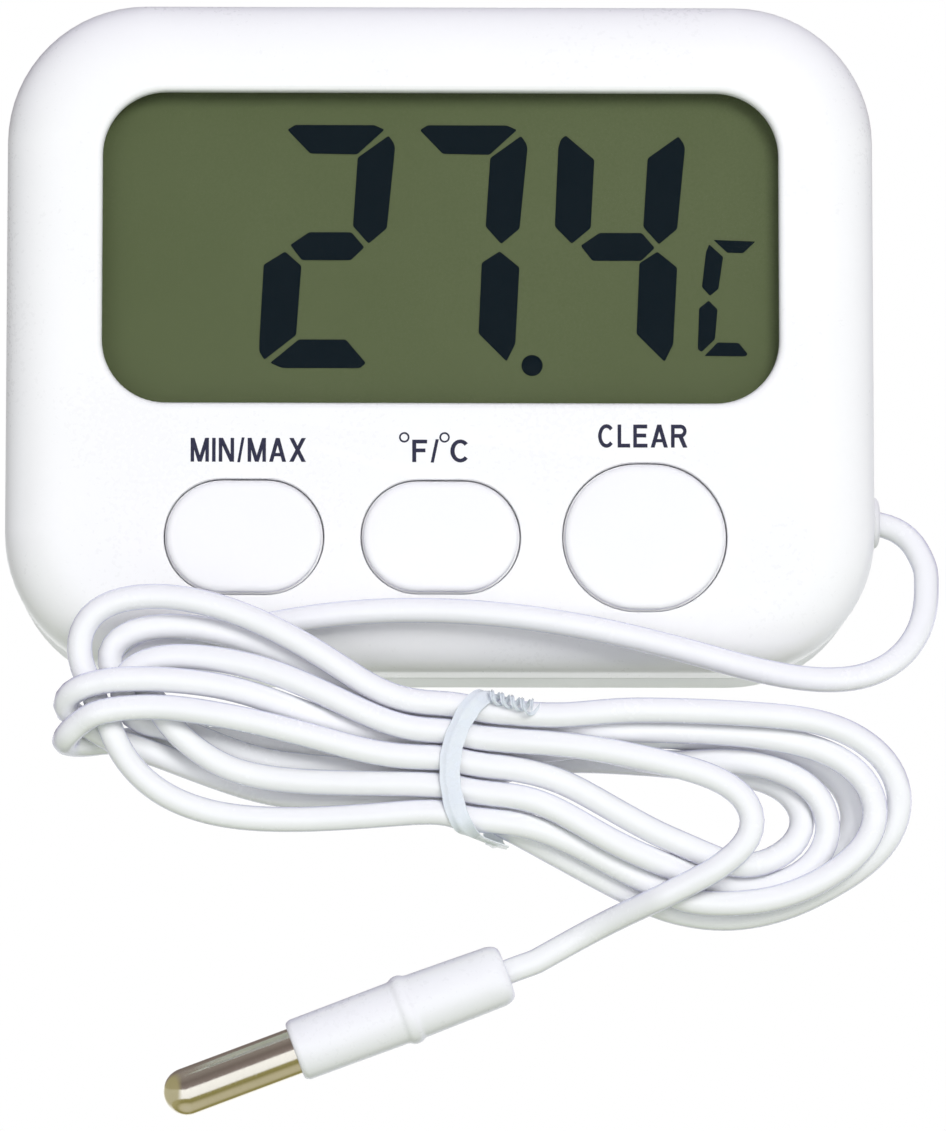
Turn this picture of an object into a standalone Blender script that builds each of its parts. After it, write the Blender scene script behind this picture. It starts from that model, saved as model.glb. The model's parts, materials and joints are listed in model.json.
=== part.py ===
"""Maximum minimum thermometer with a remote probe on a coiled cable.

Frame: metres, +Z up, the display faces -Y, +X is to the right of someone who
reads the display. The origin is the middle of the flat rear face. Sizes are in
millimetres. A place is (x, d, z), where d is the depth in front of the rear
face, so y = -d. Ranges are pairs (from, to).
"""

import math

import bmesh
import bpy
import numpy as np
from mathutils import Vector

MM = 0.001

# ---- case ------------------------------------------------------------------
CASE_W = 70.0
CASE_H = 54.2
CASE_D = 19.5
CORNER_R = 11.2        # outline corner radius
CORNER_STEPS = 5
FRONT_IN = 5.5         # how far the front rounding comes in
FRONT_BACK = 4.5       # how far it reaches back
SHOULDER_D = CASE_D - FRONT_BACK
FRONT_STEPS = 5
REAR_R = 2.0           # rear edge rounding
REAR_STEPS = 4
WALL = 1.6
FLOOR_CHAMFER = 0.8    # inside the rear shell
PART_D = 10.5          # parting plane of the two shells
SEAM = 0.3
FRONT_WALL = 1.85
BEHIND = -1.0          # cuts through the rear face start here

# ---- display ---------------------------------------------------------------
WIN_W, WIN_H, WIN_R = 54.3, 25.2, 5.1
WIN_Z = 6.85
WIN_CHAMFER = 0.6
LEDGE_GROW, PANE_GROW = 1.1, 0.8    # ledge and pane reach this far past the opening
LEDGE_D = (17.2, CASE_D - 0.85)
PANE_D = (17.45, 18.35)
# name: half width, depth range, z range, material
DISPLAY_LAYERS = {
    "lcd_front_polariser": (28.9, (16.95, 17.15), (-6.4, 19.7), "lcd_film_front"),
    "lcd_front_glass": (29.3, (16.05, 16.75), (-8.9, 20.0), "lcd_glass"),
    "lcd_rear_glass": (29.3, (15.15, 15.85), (-5.9, 20.0), "lcd_glass"),
    "lcd_rear_polariser": (29.0, (14.75, 14.95), (-5.6, 19.6), "lcd_film"),
    "zebra_strip": (27.0, (14.7, 15.75), (-8.6, -6.5), "zebra_rubber"),
}

# ---- keys: centre x, centre z, width, height --------------------------------
KEYS = {
    "minmax_key": (-15.7, -16.6, 12.8, 9.3),
    "unit_key": (0.0, -16.6, 12.8, 9.2),
    "reset_key": (16.3, -16.6, 13.2, 12.0),
}
KEY_GAP = 0.25
KEY_PROUD = 0.5
KEY_ORIGIN_D = 17.0
FLANGE_GROW = 0.9
FLANGE_D = (16.45, 17.35)
SWITCH_HALF = 3.0
SWITCH_D = (14.6, 15.7)
SWITCH_HOLE_R = 1.9
PLUNGER_R = 1.5
PLUNGER_D = (15.0, 16.3)

# ---- screws: (x, z), each also mirrored to the other side --------------------
CASE_SCREWS = ((20.0, 22.6), (28.2, -20.2))
BOARD_SCREWS = ((27.0, -12.5),)
POST_END_D = 17.85     # front shell posts run a little into the front wall

# ---- board -------------------------------------------------------------------
BOARD_D = (13.4, 14.4)
# (x, z) round the board, with a notch at each lower corner for a screw post
BOARD_EDGE = [(30.5, 19.8), (30.5, -17.0), (25.2, -17.0), (25.2, -21.5),
              (-25.2, -21.5), (-25.2, -17.0), (-30.5, -17.0), (-30.5, 19.8)]
PARTS_D = 13.2         # front of the parts that stand behind the board
# x range, z range
CAPACITORS = [((-22.6, -20.6), (-12.6, -11.4)), ((4.0, 6.0), (-5.6, -4.4))]
WIRE_END_D = 13.05

# ---- battery and its compartment ----------------------------------------------
CELL_R, CELL_L, CELL_D, CELL_Z = 5.25, 44.5, 6.8, 11.0
CELL_START_X = -20.4
BAY_W, BAY_H = 50.0, 12.0
BAY_WALL_X, BAY_WALL_Z = 1.2, 1.1
BAY_D, BAY_OUTER_D = 12.35, 13.1
CONTACT_HALF = 4.4
SPRING_X, SPRING_L = -24.1, 3.0
SPRING_R = (3.4, 2.0)  # at the contact and at the cell
SPRING_TURNS, SPRING_TURN_STEPS = 4, 10
# (x, d) along a battery wire, from the contact to the board
BATTERY_WIRE = [(25.05, CELL_D), (26.6, CELL_D), (27.6, 7.2), (28.3, 8.2), (28.5, 9.6),
                (28.5, WIRE_END_D)]

# ---- battery door and stand -----------------------------------------------------
DOOR_GAP = 0.3
DOOR_T = 1.2
DOOR_AXIS = (0.3, CELL_Z - BAY_H / 2)   # depth, z
TONGUE_X, TONGUE_HALF, TONGUE_GAP = 12.0, 2.0, 0.4
STAND_AXIS = (1.7, -4.2)                # depth, z
STAND_W, STAND_H = 19.2, 18.4

# ---- cable exit -------------------------------------------------------------------
EXIT_D, EXIT_Z = PART_D, -14.4
EXIT_R = 2.2
# (x, radius) round the section of the grommet
GROMMET = [(32.1, 1.3), (32.1, 2.7), (33.05, 2.7), (33.05, 1.85), (35.4, 1.7), (35.7, 1.5),
           (35.7, 1.3)]
# (x, d) along a sensor wire, from the cable's end to the board
SENSOR_WIRE = [(31.15, 10.5), (30.2, 10.6), (29.4, 11.1), (29.0, 12.0), (28.9, WIRE_END_D)]
SENSOR_WIRE_OFF = 0.55                  # z offset of each wire at the cable's end

# ---- cable and tie ------------------------------------------------------------------
CABLE_R = 0.97
CABLE_CLEAR_R = 1.0          # radius allowed for in front of the case
STRAND_GAP = 2.16            # least spacing of strand centre lines
TIE_C = (1.7, -34.9)         # x, z of the tie
TIE_ANGLE = math.radians(-13.0)
TIE_D = 21.6
BAND_HALF_ACROSS, BAND_HALF_DEPTH, BAND_CORNER = 5.75, 3.4, 1.6
BAND_T, BAND_HALF_W = 0.4, 0.75

# ---- probe ----------------------------------------------------------------------------
PIVOT = (12.1, 17.0, -47.8)  # where the probe lead swings
PROBE_REAR = (5.3, -51.2)    # x, z of the sleeve's rear end
PROBE_DIR = (-0.9367, -0.3501)
SLEEVE_R = 2.6
TIP_R, TIP_BORE_R = 1.9, 1.5
PROBE_L = 29.0
SLEEVE_L = 18.0
RING_AT = 8.0                # raised ring, from the sleeve's rear end
POCKET_AT = SLEEVE_L - 3.5   # floor of the sleeve's pocket for the tip


# ============================== materials ===================================
# name: colour, roughness, metallic, alpha
MATERIALS = {
    "case_white": ((0.86, 0.87, 0.89), 0.32, 0.0, 1.0),
    "case_rear_white": ((0.84, 0.85, 0.87), 0.38, 0.0, 1.0),
    "key_white": ((0.88, 0.88, 0.90), 0.35, 0.0, 1.0),
    "cable_pvc": ((0.86, 0.87, 0.88), 0.25, 0.0, 1.0),
    "sleeve_white": ((0.84, 0.85, 0.87), 0.35, 0.0, 1.0),
    "tip_steel": ((0.60, 0.60, 0.56), 0.18, 1.0, 1.0),
    "window_clear": ((0.75, 0.80, 0.78), 0.05, 0.0, 0.25),
    "lcd_glass": ((0.55, 0.60, 0.45), 0.08, 0.0, 0.5),
    "lcd_film": ((0.12, 0.15, 0.06), 0.40, 0.0, 1.0),
    "lcd_film_front": ((0.35, 0.38, 0.28), 0.30, 0.0, 0.4),
    "zebra_rubber": ((0.75, 0.35, 0.45), 0.60, 0.0, 1.0),
    "board_green": ((0.02, 0.20, 0.08), 0.45, 0.0, 1.0),
    "chip_resin": ((0.02, 0.02, 0.02), 0.30, 0.0, 1.0),
    "tin_plate": ((0.70, 0.70, 0.70), 0.30, 1.0, 1.0),
    "spring_nickel": ((0.72, 0.70, 0.66), 0.25, 1.0, 1.0),
    "capacitor_body": ((0.45, 0.30, 0.15), 0.50, 0.0, 1.0),
    "switch_black": ((0.03, 0.03, 0.03), 0.50, 0.0, 1.0),
    "cell_jacket": ((0.10, 0.16, 0.30), 0.30, 0.3, 1.0),
    "wire_red": ((0.60, 0.03, 0.03), 0.45, 0.0, 1.0),
    "wire_black": ((0.03, 0.03, 0.03), 0.45, 0.0, 1.0),
    "screw_zinc": ((0.62, 0.62, 0.64), 0.35, 1.0, 1.0),
    "grommet_white": ((0.80, 0.80, 0.80), 0.60, 0.0, 1.0),
    "tie_film": ((0.88, 0.90, 0.92), 0.25, 0.0, 0.7),
    "bead_resin": ((0.05, 0.05, 0.05), 0.35, 0.0, 1.0),
}


def make_materials():
    for name, (colour, roughness, metallic, alpha) in MATERIALS.items():
        mat = bpy.data.materials.new(name)
        mat.use_nodes = True
        shader = mat.node_tree.nodes["Principled BSDF"]
        shader.inputs["Base Color"].default_value = (*colour, 1.0)
        shader.inputs["Roughness"].default_value = roughness
        shader.inputs["Metallic"].default_value = metallic
        shader.inputs["Alpha"].default_value = alpha
        mat.diffuse_color = (*colour, 1.0)


# ============================== outlines ====================================
def around(middle, half):
    """The range that reaches half to each side of a middle."""
    return middle - half, middle + half


def both_sides(places, sides=(1, -1)):
    """Each (x, z) and its mirror image in x."""
    return [(side * x, z) for x, z in places for side in sides]


def outline(width, height, radius, steps=CORNER_STEPS, mid_x=0.0, mid_z=0.0):
    """Points (x, z) round a rounded rectangle."""
    points = []
    for k, (sx, sz) in enumerate([(1, 1), (-1, 1), (-1, -1), (1, -1)]):
        corner_x = mid_x + sx * (width / 2 - radius)
        corner_z = mid_z + sz * (height / 2 - radius)
        for i in range(steps + 1):
            angle = math.radians(90 * (k + i / steps))
            points.append((corner_x + radius * math.cos(angle),
                           corner_z + radius * math.sin(angle)))
    return points


def circle(mid_a, mid_b, radius, sides):
    angles = [2 * math.pi * k / sides for k in range(sides)]
    return [(mid_a + radius * math.cos(a), mid_b + radius * math.sin(a)) for a in angles]


def ring_of(points, d):
    return [(x, d, z) for x, z in points]


# =============================== solids =====================================
def skin(rings, closed=False):
    """Quads between rings of (x, y, z), capped at both ends or closed on itself."""
    bm = bmesh.new()
    rows = [[bm.verts.new(point) for point in ring] for ring in rings]
    count = len(rows[0])
    pairs = list(zip(rows, rows[1:]))
    if closed:
        pairs.append((rows[-1], rows[0]))
    for row, after in pairs:
        for i in range(count):
            j = (i + 1) % count
            bm.faces.new((row[i], row[j], after[j], after[i]))
    if not closed:
        bm.faces.new(rows[0])
        bm.faces.new(rows[-1])
    bmesh.ops.recalc_face_normals(bm, faces=bm.faces)
    return bm


def loft(rings, closed=False):
    """A skin over rings of (x, d, z)."""
    return skin([[(x, -d, z) for x, d, z in ring] for ring in rings], closed)


def prism(points, d_range):
    return loft([ring_of(points, d) for d in d_range])


def box(x_range, d_range, z_range):
    (left, right), (low, high) = x_range, z_range
    return prism([(left, low), (right, low), (right, high), (left, high)], d_range)


def lathe_d(x, z, profile, sides):
    """Turned about a line along the depth; profile is (d, radius)."""
    return loft([ring_of(circle(x, z, radius, sides), d) for d, radius in profile])


def rod_d(x, z, d_range, radius, sides):
    return lathe_d(x, z, [(d, radius) for d in d_range], sides)


def lathe_x(d, z, profile, sides, closed=False):
    """Turned about a line along X; profile is (x, radius)."""
    return loft([[(x, *point) for point in circle(d, z, radius, sides)]
                 for x, radius in profile], closed)


def rod_x(x_range, d, z, radius, sides=12):
    return lathe_x(d, z, [(x, radius) for x in x_range], sides)


def round_ring(middle, side, other, radius, sides):
    """Points of a circle in the plane of two unit vectors."""
    return [middle + (side * math.cos(2 * math.pi * k / sides)
                      + other * math.sin(2 * math.pi * k / sides)) * radius
            for k in range(sides)]


def frame_at(direction):
    """Two unit vectors square to a unit vector."""
    up = Vector((0, 1, 0)) if abs(direction.y) < 0.9 else Vector((1, 0, 0))
    side = direction.cross(up).normalized()
    return side, direction.cross(side).normalized()


def lathe_along(start, axis, profile, sides, closed=False):
    """Turned about a line in (x, y, z); profile is (distance along it, radius)."""
    side, other = frame_at(axis)
    return skin([round_ring(start + axis * along, side, other, radius, sides)
                 for along, radius in profile], closed)


def tube(points, radius, sides, end_angles=()):
    """A round tube along a path of (x, y, z).

    One frame is carried along it so that it does not twist. The end angles add
    rings of a half ball centred on the last point.
    """
    path = [Vector(point) for point in points]
    rings = []
    side = None
    for i, point in enumerate(path):
        along = (path[min(i + 1, len(path) - 1)] - path[max(i - 1, 0)]).normalized()
        if side is None:
            side = frame_at(along)[0]
        side = (side - along * side.dot(along)).normalized()
        rings.append(round_ring(point, side, along.cross(side), radius, sides))
    for angle in end_angles:
        rings.append(round_ring(path[-1] + along * radius * math.sin(angle), side,
                                along.cross(side), radius * math.cos(angle), sides))
    return skin(rings)


def place(name, bm, mat_name, origin=(0.0, 0.0, 0.0), smooth=True):
    """Make the object; origin is (x, d, z) in mm and becomes the object's own origin."""
    home = Vector((origin[0], -origin[1], origin[2])) * MM
    if bm.calc_volume(signed=True) < 0:
        bmesh.ops.reverse_faces(bm, faces=bm.faces)
    for vert in bm.verts:
        vert.co = vert.co * MM - home
    mesh = bpy.data.meshes.new(name)
    bm.to_mesh(mesh)
    bm.free()
    obj = bpy.data.objects.new(name, mesh)
    obj.location = home
    bpy.context.scene.collection.objects.link(obj)
    if mat_name:
        mesh.materials.append(bpy.data.materials[mat_name])
    if smooth:
        mesh.shade_smooth()
        mesh.set_sharp_from_angle(angle=math.radians(30))
    return obj


def combine(obj, bm, operation):
    """Boolean with a tool shape, kept as a plain mesh, with the tool removed."""
    tool = place("tool", bm, None, smooth=False)
    step = obj.modifiers.new("combine", "BOOLEAN")
    step.object = tool
    step.operation = operation
    step.solver = "EXACT"
    bpy.context.view_layer.update()
    graph = bpy.context.evaluated_depsgraph_get()
    mesh = bpy.data.meshes.new_from_object(obj.evaluated_get(graph))
    obj.modifiers.clear()
    old, obj.data = obj.data, mesh
    bpy.data.meshes.remove(old)
    shape = tool.data
    bpy.data.objects.remove(tool)
    bpy.data.meshes.remove(shape)
    mesh.name = obj.name


def cut(obj, *tools):
    for bm in tools:
        combine(obj, bm, "DIFFERENCE")


def add(obj, *tools):
    for bm in tools:
        combine(obj, bm, "UNION")


# ================================ case ======================================
def front_inset(d):
    """How far the front rounding has come in at depth d."""
    t = max(0.0, d - SHOULDER_D) / FRONT_BACK
    return FRONT_IN * (1 - math.sqrt(max(0.0, 1 - t * t)))


def case_ring(d, inset):
    return ring_of(outline(CASE_W - 2 * inset, CASE_H - 2 * inset, CORNER_R - inset), d)


def window_outline(grow):
    return outline(WIN_W + 2 * grow, WIN_H + 2 * grow, WIN_R + grow, 6, 0, WIN_Z)


def key_outline(key, grow=0.0):
    """A key's opening in the case, grown; its ends are all but half circles."""
    x, z, width, height = KEYS[key]
    radius = min(width, height) / 2 + grow - 0.02
    return outline(width + 2 * grow, height + 2 * grow, radius, 6, x, z)


def exit_hole():
    """Tool for the cable's hole, which both shells share at the parting plane."""
    return rod_x((31.0, 37.0), EXIT_D, EXIT_Z, EXIT_R)


def build_front_shell():
    # One skin: from the front wall back along the inside, over the rim, and forward outside.
    rim = PART_D + SEAM / 2
    inner_depths = (CASE_D - FRONT_WALL, 16.6, 15.4, rim)
    rings = [case_ring(d, front_inset(d) + WALL) for d in inner_depths]
    rings.append(case_ring(rim, 0.0))
    for i in range(FRONT_STEPS + 1):
        angle = math.pi / 2 * i / FRONT_STEPS
        rings.append(case_ring(SHOULDER_D + FRONT_BACK * math.sin(angle),
                               FRONT_IN * (1 - math.cos(angle))))
    shell = place("front_shell", loft(rings), "case_white")

    # Screw posts, then their blind holes.
    case_screws, board_screws = both_sides(CASE_SCREWS), both_sides(BOARD_SCREWS)
    for x, z in case_screws:
        add(shell, rod_d(x, z, (10.3, POST_END_D), 2.2, 12))
    for x, z in board_screws:
        add(shell, rod_d(x, z, (14.7, POST_END_D), 2.0, 12))
    for x, z in case_screws:
        cut(shell, rod_d(x, z, (10.0, 15.4), 1.2, 10))
    for x, z in board_screws:
        cut(shell, rod_d(x, z, (14.4, 17.4), 1.0, 10))

    # The window opening, its chamfer and the ledge that the clear window sits in.
    cut(shell, loft([ring_of(window_outline(0), 17.0),
                     ring_of(window_outline(0), CASE_D - WIN_CHAMFER),
                     ring_of(window_outline(WIN_CHAMFER + 0.1), CASE_D + 0.1)]))
    cut(shell, prism(window_outline(LEDGE_GROW), LEDGE_D))
    for key in KEYS:
        cut(shell, prism(key_outline(key), (17.0, CASE_D + 0.5)))
    cut(shell, exit_hole())


def build_rear_shell():
    # One skin: from the floor forward along the inside, over the rim, and back outside.
    rim = PART_D - SEAM / 2
    rings = [case_ring(WALL, WALL + FLOOR_CHAMFER), case_ring(WALL + FLOOR_CHAMFER, WALL),
             case_ring(rim, WALL), case_ring(rim, 0.0)]
    for i in range(REAR_STEPS + 1):
        angle = math.pi / 2 * i / REAR_STEPS
        rings.append(case_ring(REAR_R * (1 - math.sin(angle)), REAR_R * (1 - math.cos(angle))))
    shell = place("rear_shell", loft(rings), "case_rear_white")

    screws = both_sides(CASE_SCREWS)
    for x, z in screws:
        add(shell, rod_d(x, z, (1.2, 9.9), 3.2, 14))
    # Battery compartment, then the thickened surround of the stand recess.
    add(shell, box(around(0, BAY_W / 2 + BAY_WALL_X), (1.2, BAY_OUTER_D),
                   around(CELL_Z, BAY_H / 2 + BAY_WALL_Z)))
    add(shell, box(around(0, 11.8), (1.2, 4.8), (-24.6, -1.2)))

    # Head recess and shank hole of each screw, then the compartment's inside.
    for x, z in screws:
        cut(shell, rod_d(x, z, (BEHIND, 5.2), 2.1, 14), rod_d(x, z, (4.0, 10.5), 1.2, 10))
    cut(shell, box(around(0, BAY_W / 2), (BEHIND, BAY_D), around(CELL_Z, BAY_H / 2)))
    # Slots for the door's tongues, and the notch for its latch.
    for side in (1, -1):
        cut(shell, box(around(side * TONGUE_X, TONGUE_HALF + TONGUE_GAP),
                       (1.75, 3.9), (3.4, 5.6)))
    cut(shell, box(around(0, 4.4), (-0.5, 2.6), (16.5, 18.45)))
    # Wire passages in the two end walls of the compartment.
    for side in (1, -1):
        cut(shell, rod_x((side * 24.0, side * 27.5), CELL_D, CELL_Z, 0.85, 8))
    # Stand recess, bearing holes for its pegs, and a rounded notch at its lower edge.
    cut(shell, box(around(0, 10.0), (BEHIND, 3.4), (-23.2, -2.5)))
    cut(shell, rod_x(around(0, 11.25), *STAND_AXIS, 1.05))
    cut(shell, prism(outline(9.0, 4.0, 1.9, 3, 0, -23.2), (BEHIND, 1.2)))
    cut(shell, exit_hole())


# ========================== display, board, keys =============================
def build_display():
    place("display_window", prism(window_outline(PANE_GROW), PANE_D), "window_clear")
    for name, (half_width, d_range, z_range, mat_name) in DISPLAY_LAYERS.items():
        place(name, box(around(0, half_width), d_range, z_range), mat_name)


def chip_dome():
    """A low resin dome on the rear side of the board."""
    radius, height = 4.4, 1.6
    profile = []
    for i in range(5):
        angle = math.pi / 2 * i / 4.4    # stops short of the pole
        profile.append((PARTS_D - height * math.sin(angle), radius * math.cos(angle)))
    return lathe_d(-14.0, -5.0, profile, 16)


def build_board():
    board = place("circuit_board", prism(BOARD_EDGE, BOARD_D), "board_green")
    for x, z in both_sides(BOARD_SCREWS):
        cut(board, rod_d(x, z, (13.0, 15.0), 1.1, 10))
    place("chip_blob", chip_dome(), "chip_resin")
    place("watch_crystal", rod_x((-6.5, -0.5), 12.0, -9.0, 1.0), "tin_plate")
    for k, (x_range, z_range) in enumerate(CAPACITORS, 1):
        place(f"capacitor_{k}", box(x_range, (12.4, PARTS_D), z_range), "capacitor_body")


def build_switch(number, x, z):
    base = place(f"switch_base_{number}",
                 box(around(x, SWITCH_HALF), SWITCH_D, around(z, SWITCH_HALF)), "tin_plate")
    cut(base, rod_d(x, z, (14.0, 16.5), SWITCH_HOLE_R, 12))
    place(f"switch_plunger_{number}", rod_d(x, z, PLUNGER_D, PLUNGER_R, 12),
          "switch_black", (x, PLUNGER_D[0], z))


def build_key(key, x, z):
    """A retaining flange behind the wall, a stem, and a rounded top edge."""
    top = CASE_D + KEY_PROUD
    # growth past the opening, depth
    stations = [(FLANGE_GROW, FLANGE_D[0]), (FLANGE_GROW, FLANGE_D[1]),
                (-KEY_GAP, FLANGE_D[1]), (-KEY_GAP, top - 0.5),
                (-KEY_GAP - 0.15, top - 0.15), (-KEY_GAP - 0.5, top)]
    place(key, loft([ring_of(key_outline(key, grow), d) for grow, d in stations]),
          "key_white", (x, KEY_ORIGIN_D, z))


def build_keys():
    for number, (key, (x, z, _, _)) in enumerate(KEYS.items(), 1):
        build_switch(number, x, z)
        build_key(key, x, z)


# ====================== battery, screws, door, stand ===========================
def build_battery():
    # (distance from the minus end, radius); the last two stations are the plus pole
    profile = [(0, 4.9), (0.4, CELL_R), (CELL_L - 1.6, CELL_R), (CELL_L - 1.2, 4.9),
               (CELL_L - 1.2, 1.9), (CELL_L, 1.9)]
    place("battery", lathe_x(CELL_D, CELL_Z, [(CELL_START_X + s, r) for s, r in profile], 20),
          "cell_jacket")


def build_battery_spring():
    coil = []
    steps = SPRING_TURNS * SPRING_TURN_STEPS
    for i in range(steps + 1):
        angle = 2 * math.pi * i / SPRING_TURN_STEPS
        radius = SPRING_R[0] - (SPRING_R[0] - SPRING_R[1]) * i / steps
        coil.append((SPRING_X + SPRING_L * i / steps,
                     -(CELL_D + radius * math.cos(angle)), CELL_Z + radius * math.sin(angle)))
    place("battery_spring", tube(coil, 0.28, 5), "spring_nickel")


def build_contacts():
    for name, x_range in (("minus", (-24.75, -24.5)), ("plus", (24.45, 24.7))):
        place("battery_contact_" + name,
              box(x_range, around(CELL_D, CONTACT_HALF), around(CELL_Z, CONTACT_HALF)),
              "spring_nickel")
    for side, colour in ((1, "red"), (-1, "black")):
        line = [(side * x, -d, CELL_Z) for x, d in BATTERY_WIRE]
        place("battery_wire_" + colour, tube(line, 0.45, 6), "wire_" + colour)


def screw(x, z, head_d, head_radius, tip_d, radius):
    """A pan head and its shank; the first of head_d is the head's outer face."""
    outer, under = head_d
    profile = [(outer, head_radius * 0.72), (outer + 0.35, head_radius), (under, head_radius),
               (under, radius), (tip_d - 0.6, radius), (tip_d, radius * 0.4)]
    return lathe_d(x, z, profile, 12)


def build_screws():
    for k, (x, z) in enumerate(both_sides(CASE_SCREWS, (-1, 1)), 1):
        place(f"case_screw_{k}",
              screw(x, z, head_d=(3.4, 4.9), head_radius=1.75, tip_d=14.5, radius=0.9),
              "screw_zinc")
    for k, (x, z) in enumerate(both_sides(BOARD_SCREWS, (-1, 1)), 1):
        place(f"board_screw_{k}",
              screw(x, z, head_d=(11.9, 13.1), head_radius=1.5, tip_d=17.0, radius=0.7),
              "screw_zinc")


def build_door():
    """Plate, two tongues at the lower edge, and a grooved thumb latch at the top."""
    plate = outline(BAY_W - 2 * DOOR_GAP, BAY_H - 2 * DOOR_GAP, 0.6, 2, 0, CELL_Z)
    door = place("battery_door", prism(plate, (0.0, DOOR_T)), "case_rear_white",
                 (0, *DOOR_AXIS))
    for side in (1, -1):
        across = around(side * TONGUE_X, TONGUE_HALF)
        add(door, box(across, (1.0, 2.65), (5.5, 6.7)), box(across, (1.95, 2.65), (4.2, 5.7)))
    add(door, box(around(0, 4.0), (0.0, DOOR_T), (16.4, 18.0)))
    for k in range(3):
        low = 13.2 + 1.1 * k
        cut(door, box(around(0, 3.0), (-0.3, 0.3), (low, low + 0.5)))


def build_stand():
    """A leg with a knuckle along its top, a peg at each end, and a pocket in its front face."""
    mid_z = STAND_AXIS[1] - STAND_H / 2
    leg = place("stand", prism(outline(STAND_W, STAND_H, 1.2, 2, 0, mid_z), (0.3, 1.9)),
                "case_rear_white", (0, *STAND_AXIS))
    add(leg, rod_x(around(0, STAND_W / 2), *STAND_AXIS, 1.35, 14),
        rod_x(around(0, 10.95), *STAND_AXIS, 0.7, 10))
    cut(leg, prism(outline(11.0, 8.0, 1.5, 2, 0, -13.0), (1.3, 2.2)))


def build_cable_exit():
    """Grommet in the parting line, and the two sensor wires inside the case."""
    place("cable_grommet", lathe_x(EXIT_D, EXIT_Z, GROMMET, 12, closed=True), "grommet_white")
    start_x = SENSOR_WIRE[0][0]
    for k, (offset, colour) in enumerate(((SENSOR_WIRE_OFF, "red"),
                                          (-SENSOR_WIRE_OFF, "black")), 1):
        # The wires draw apart as they leave the cable.
        line = [(x, -d, EXIT_Z + offset * (1 + (start_x - x) / 4)) for x, d in SENSOR_WIRE]
        place(f"sensor_wire_{k}", tube(line, 0.33, 6), "wire_" + colour)


# ============================ cable routing ==================================
# The cable is wound into a long hank and tied in the middle. Each turn goes
# through the tie twice. A slot is a place in the tie: (across, layer), in the
# front, middle or back layer.
SLOTS = {
    "F1": (4.3, 1), "F2": (2.15, 1), "F3": (0.0, 1), "F4": (-2.15, 1), "F5": (-4.3, 1),
    "M1": (3.23, 0), "M2": (1.08, 0), "M3": (-1.08, 0), "M4": (-3.23, 0),
    "B1": (2.15, -1), "B2": (-2.15, -1),
}
LAYER = 1.95           # depth from one layer to the next
SLOT_REACH = 1.2       # the route's points in a slot lie this far from its middle

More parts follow.
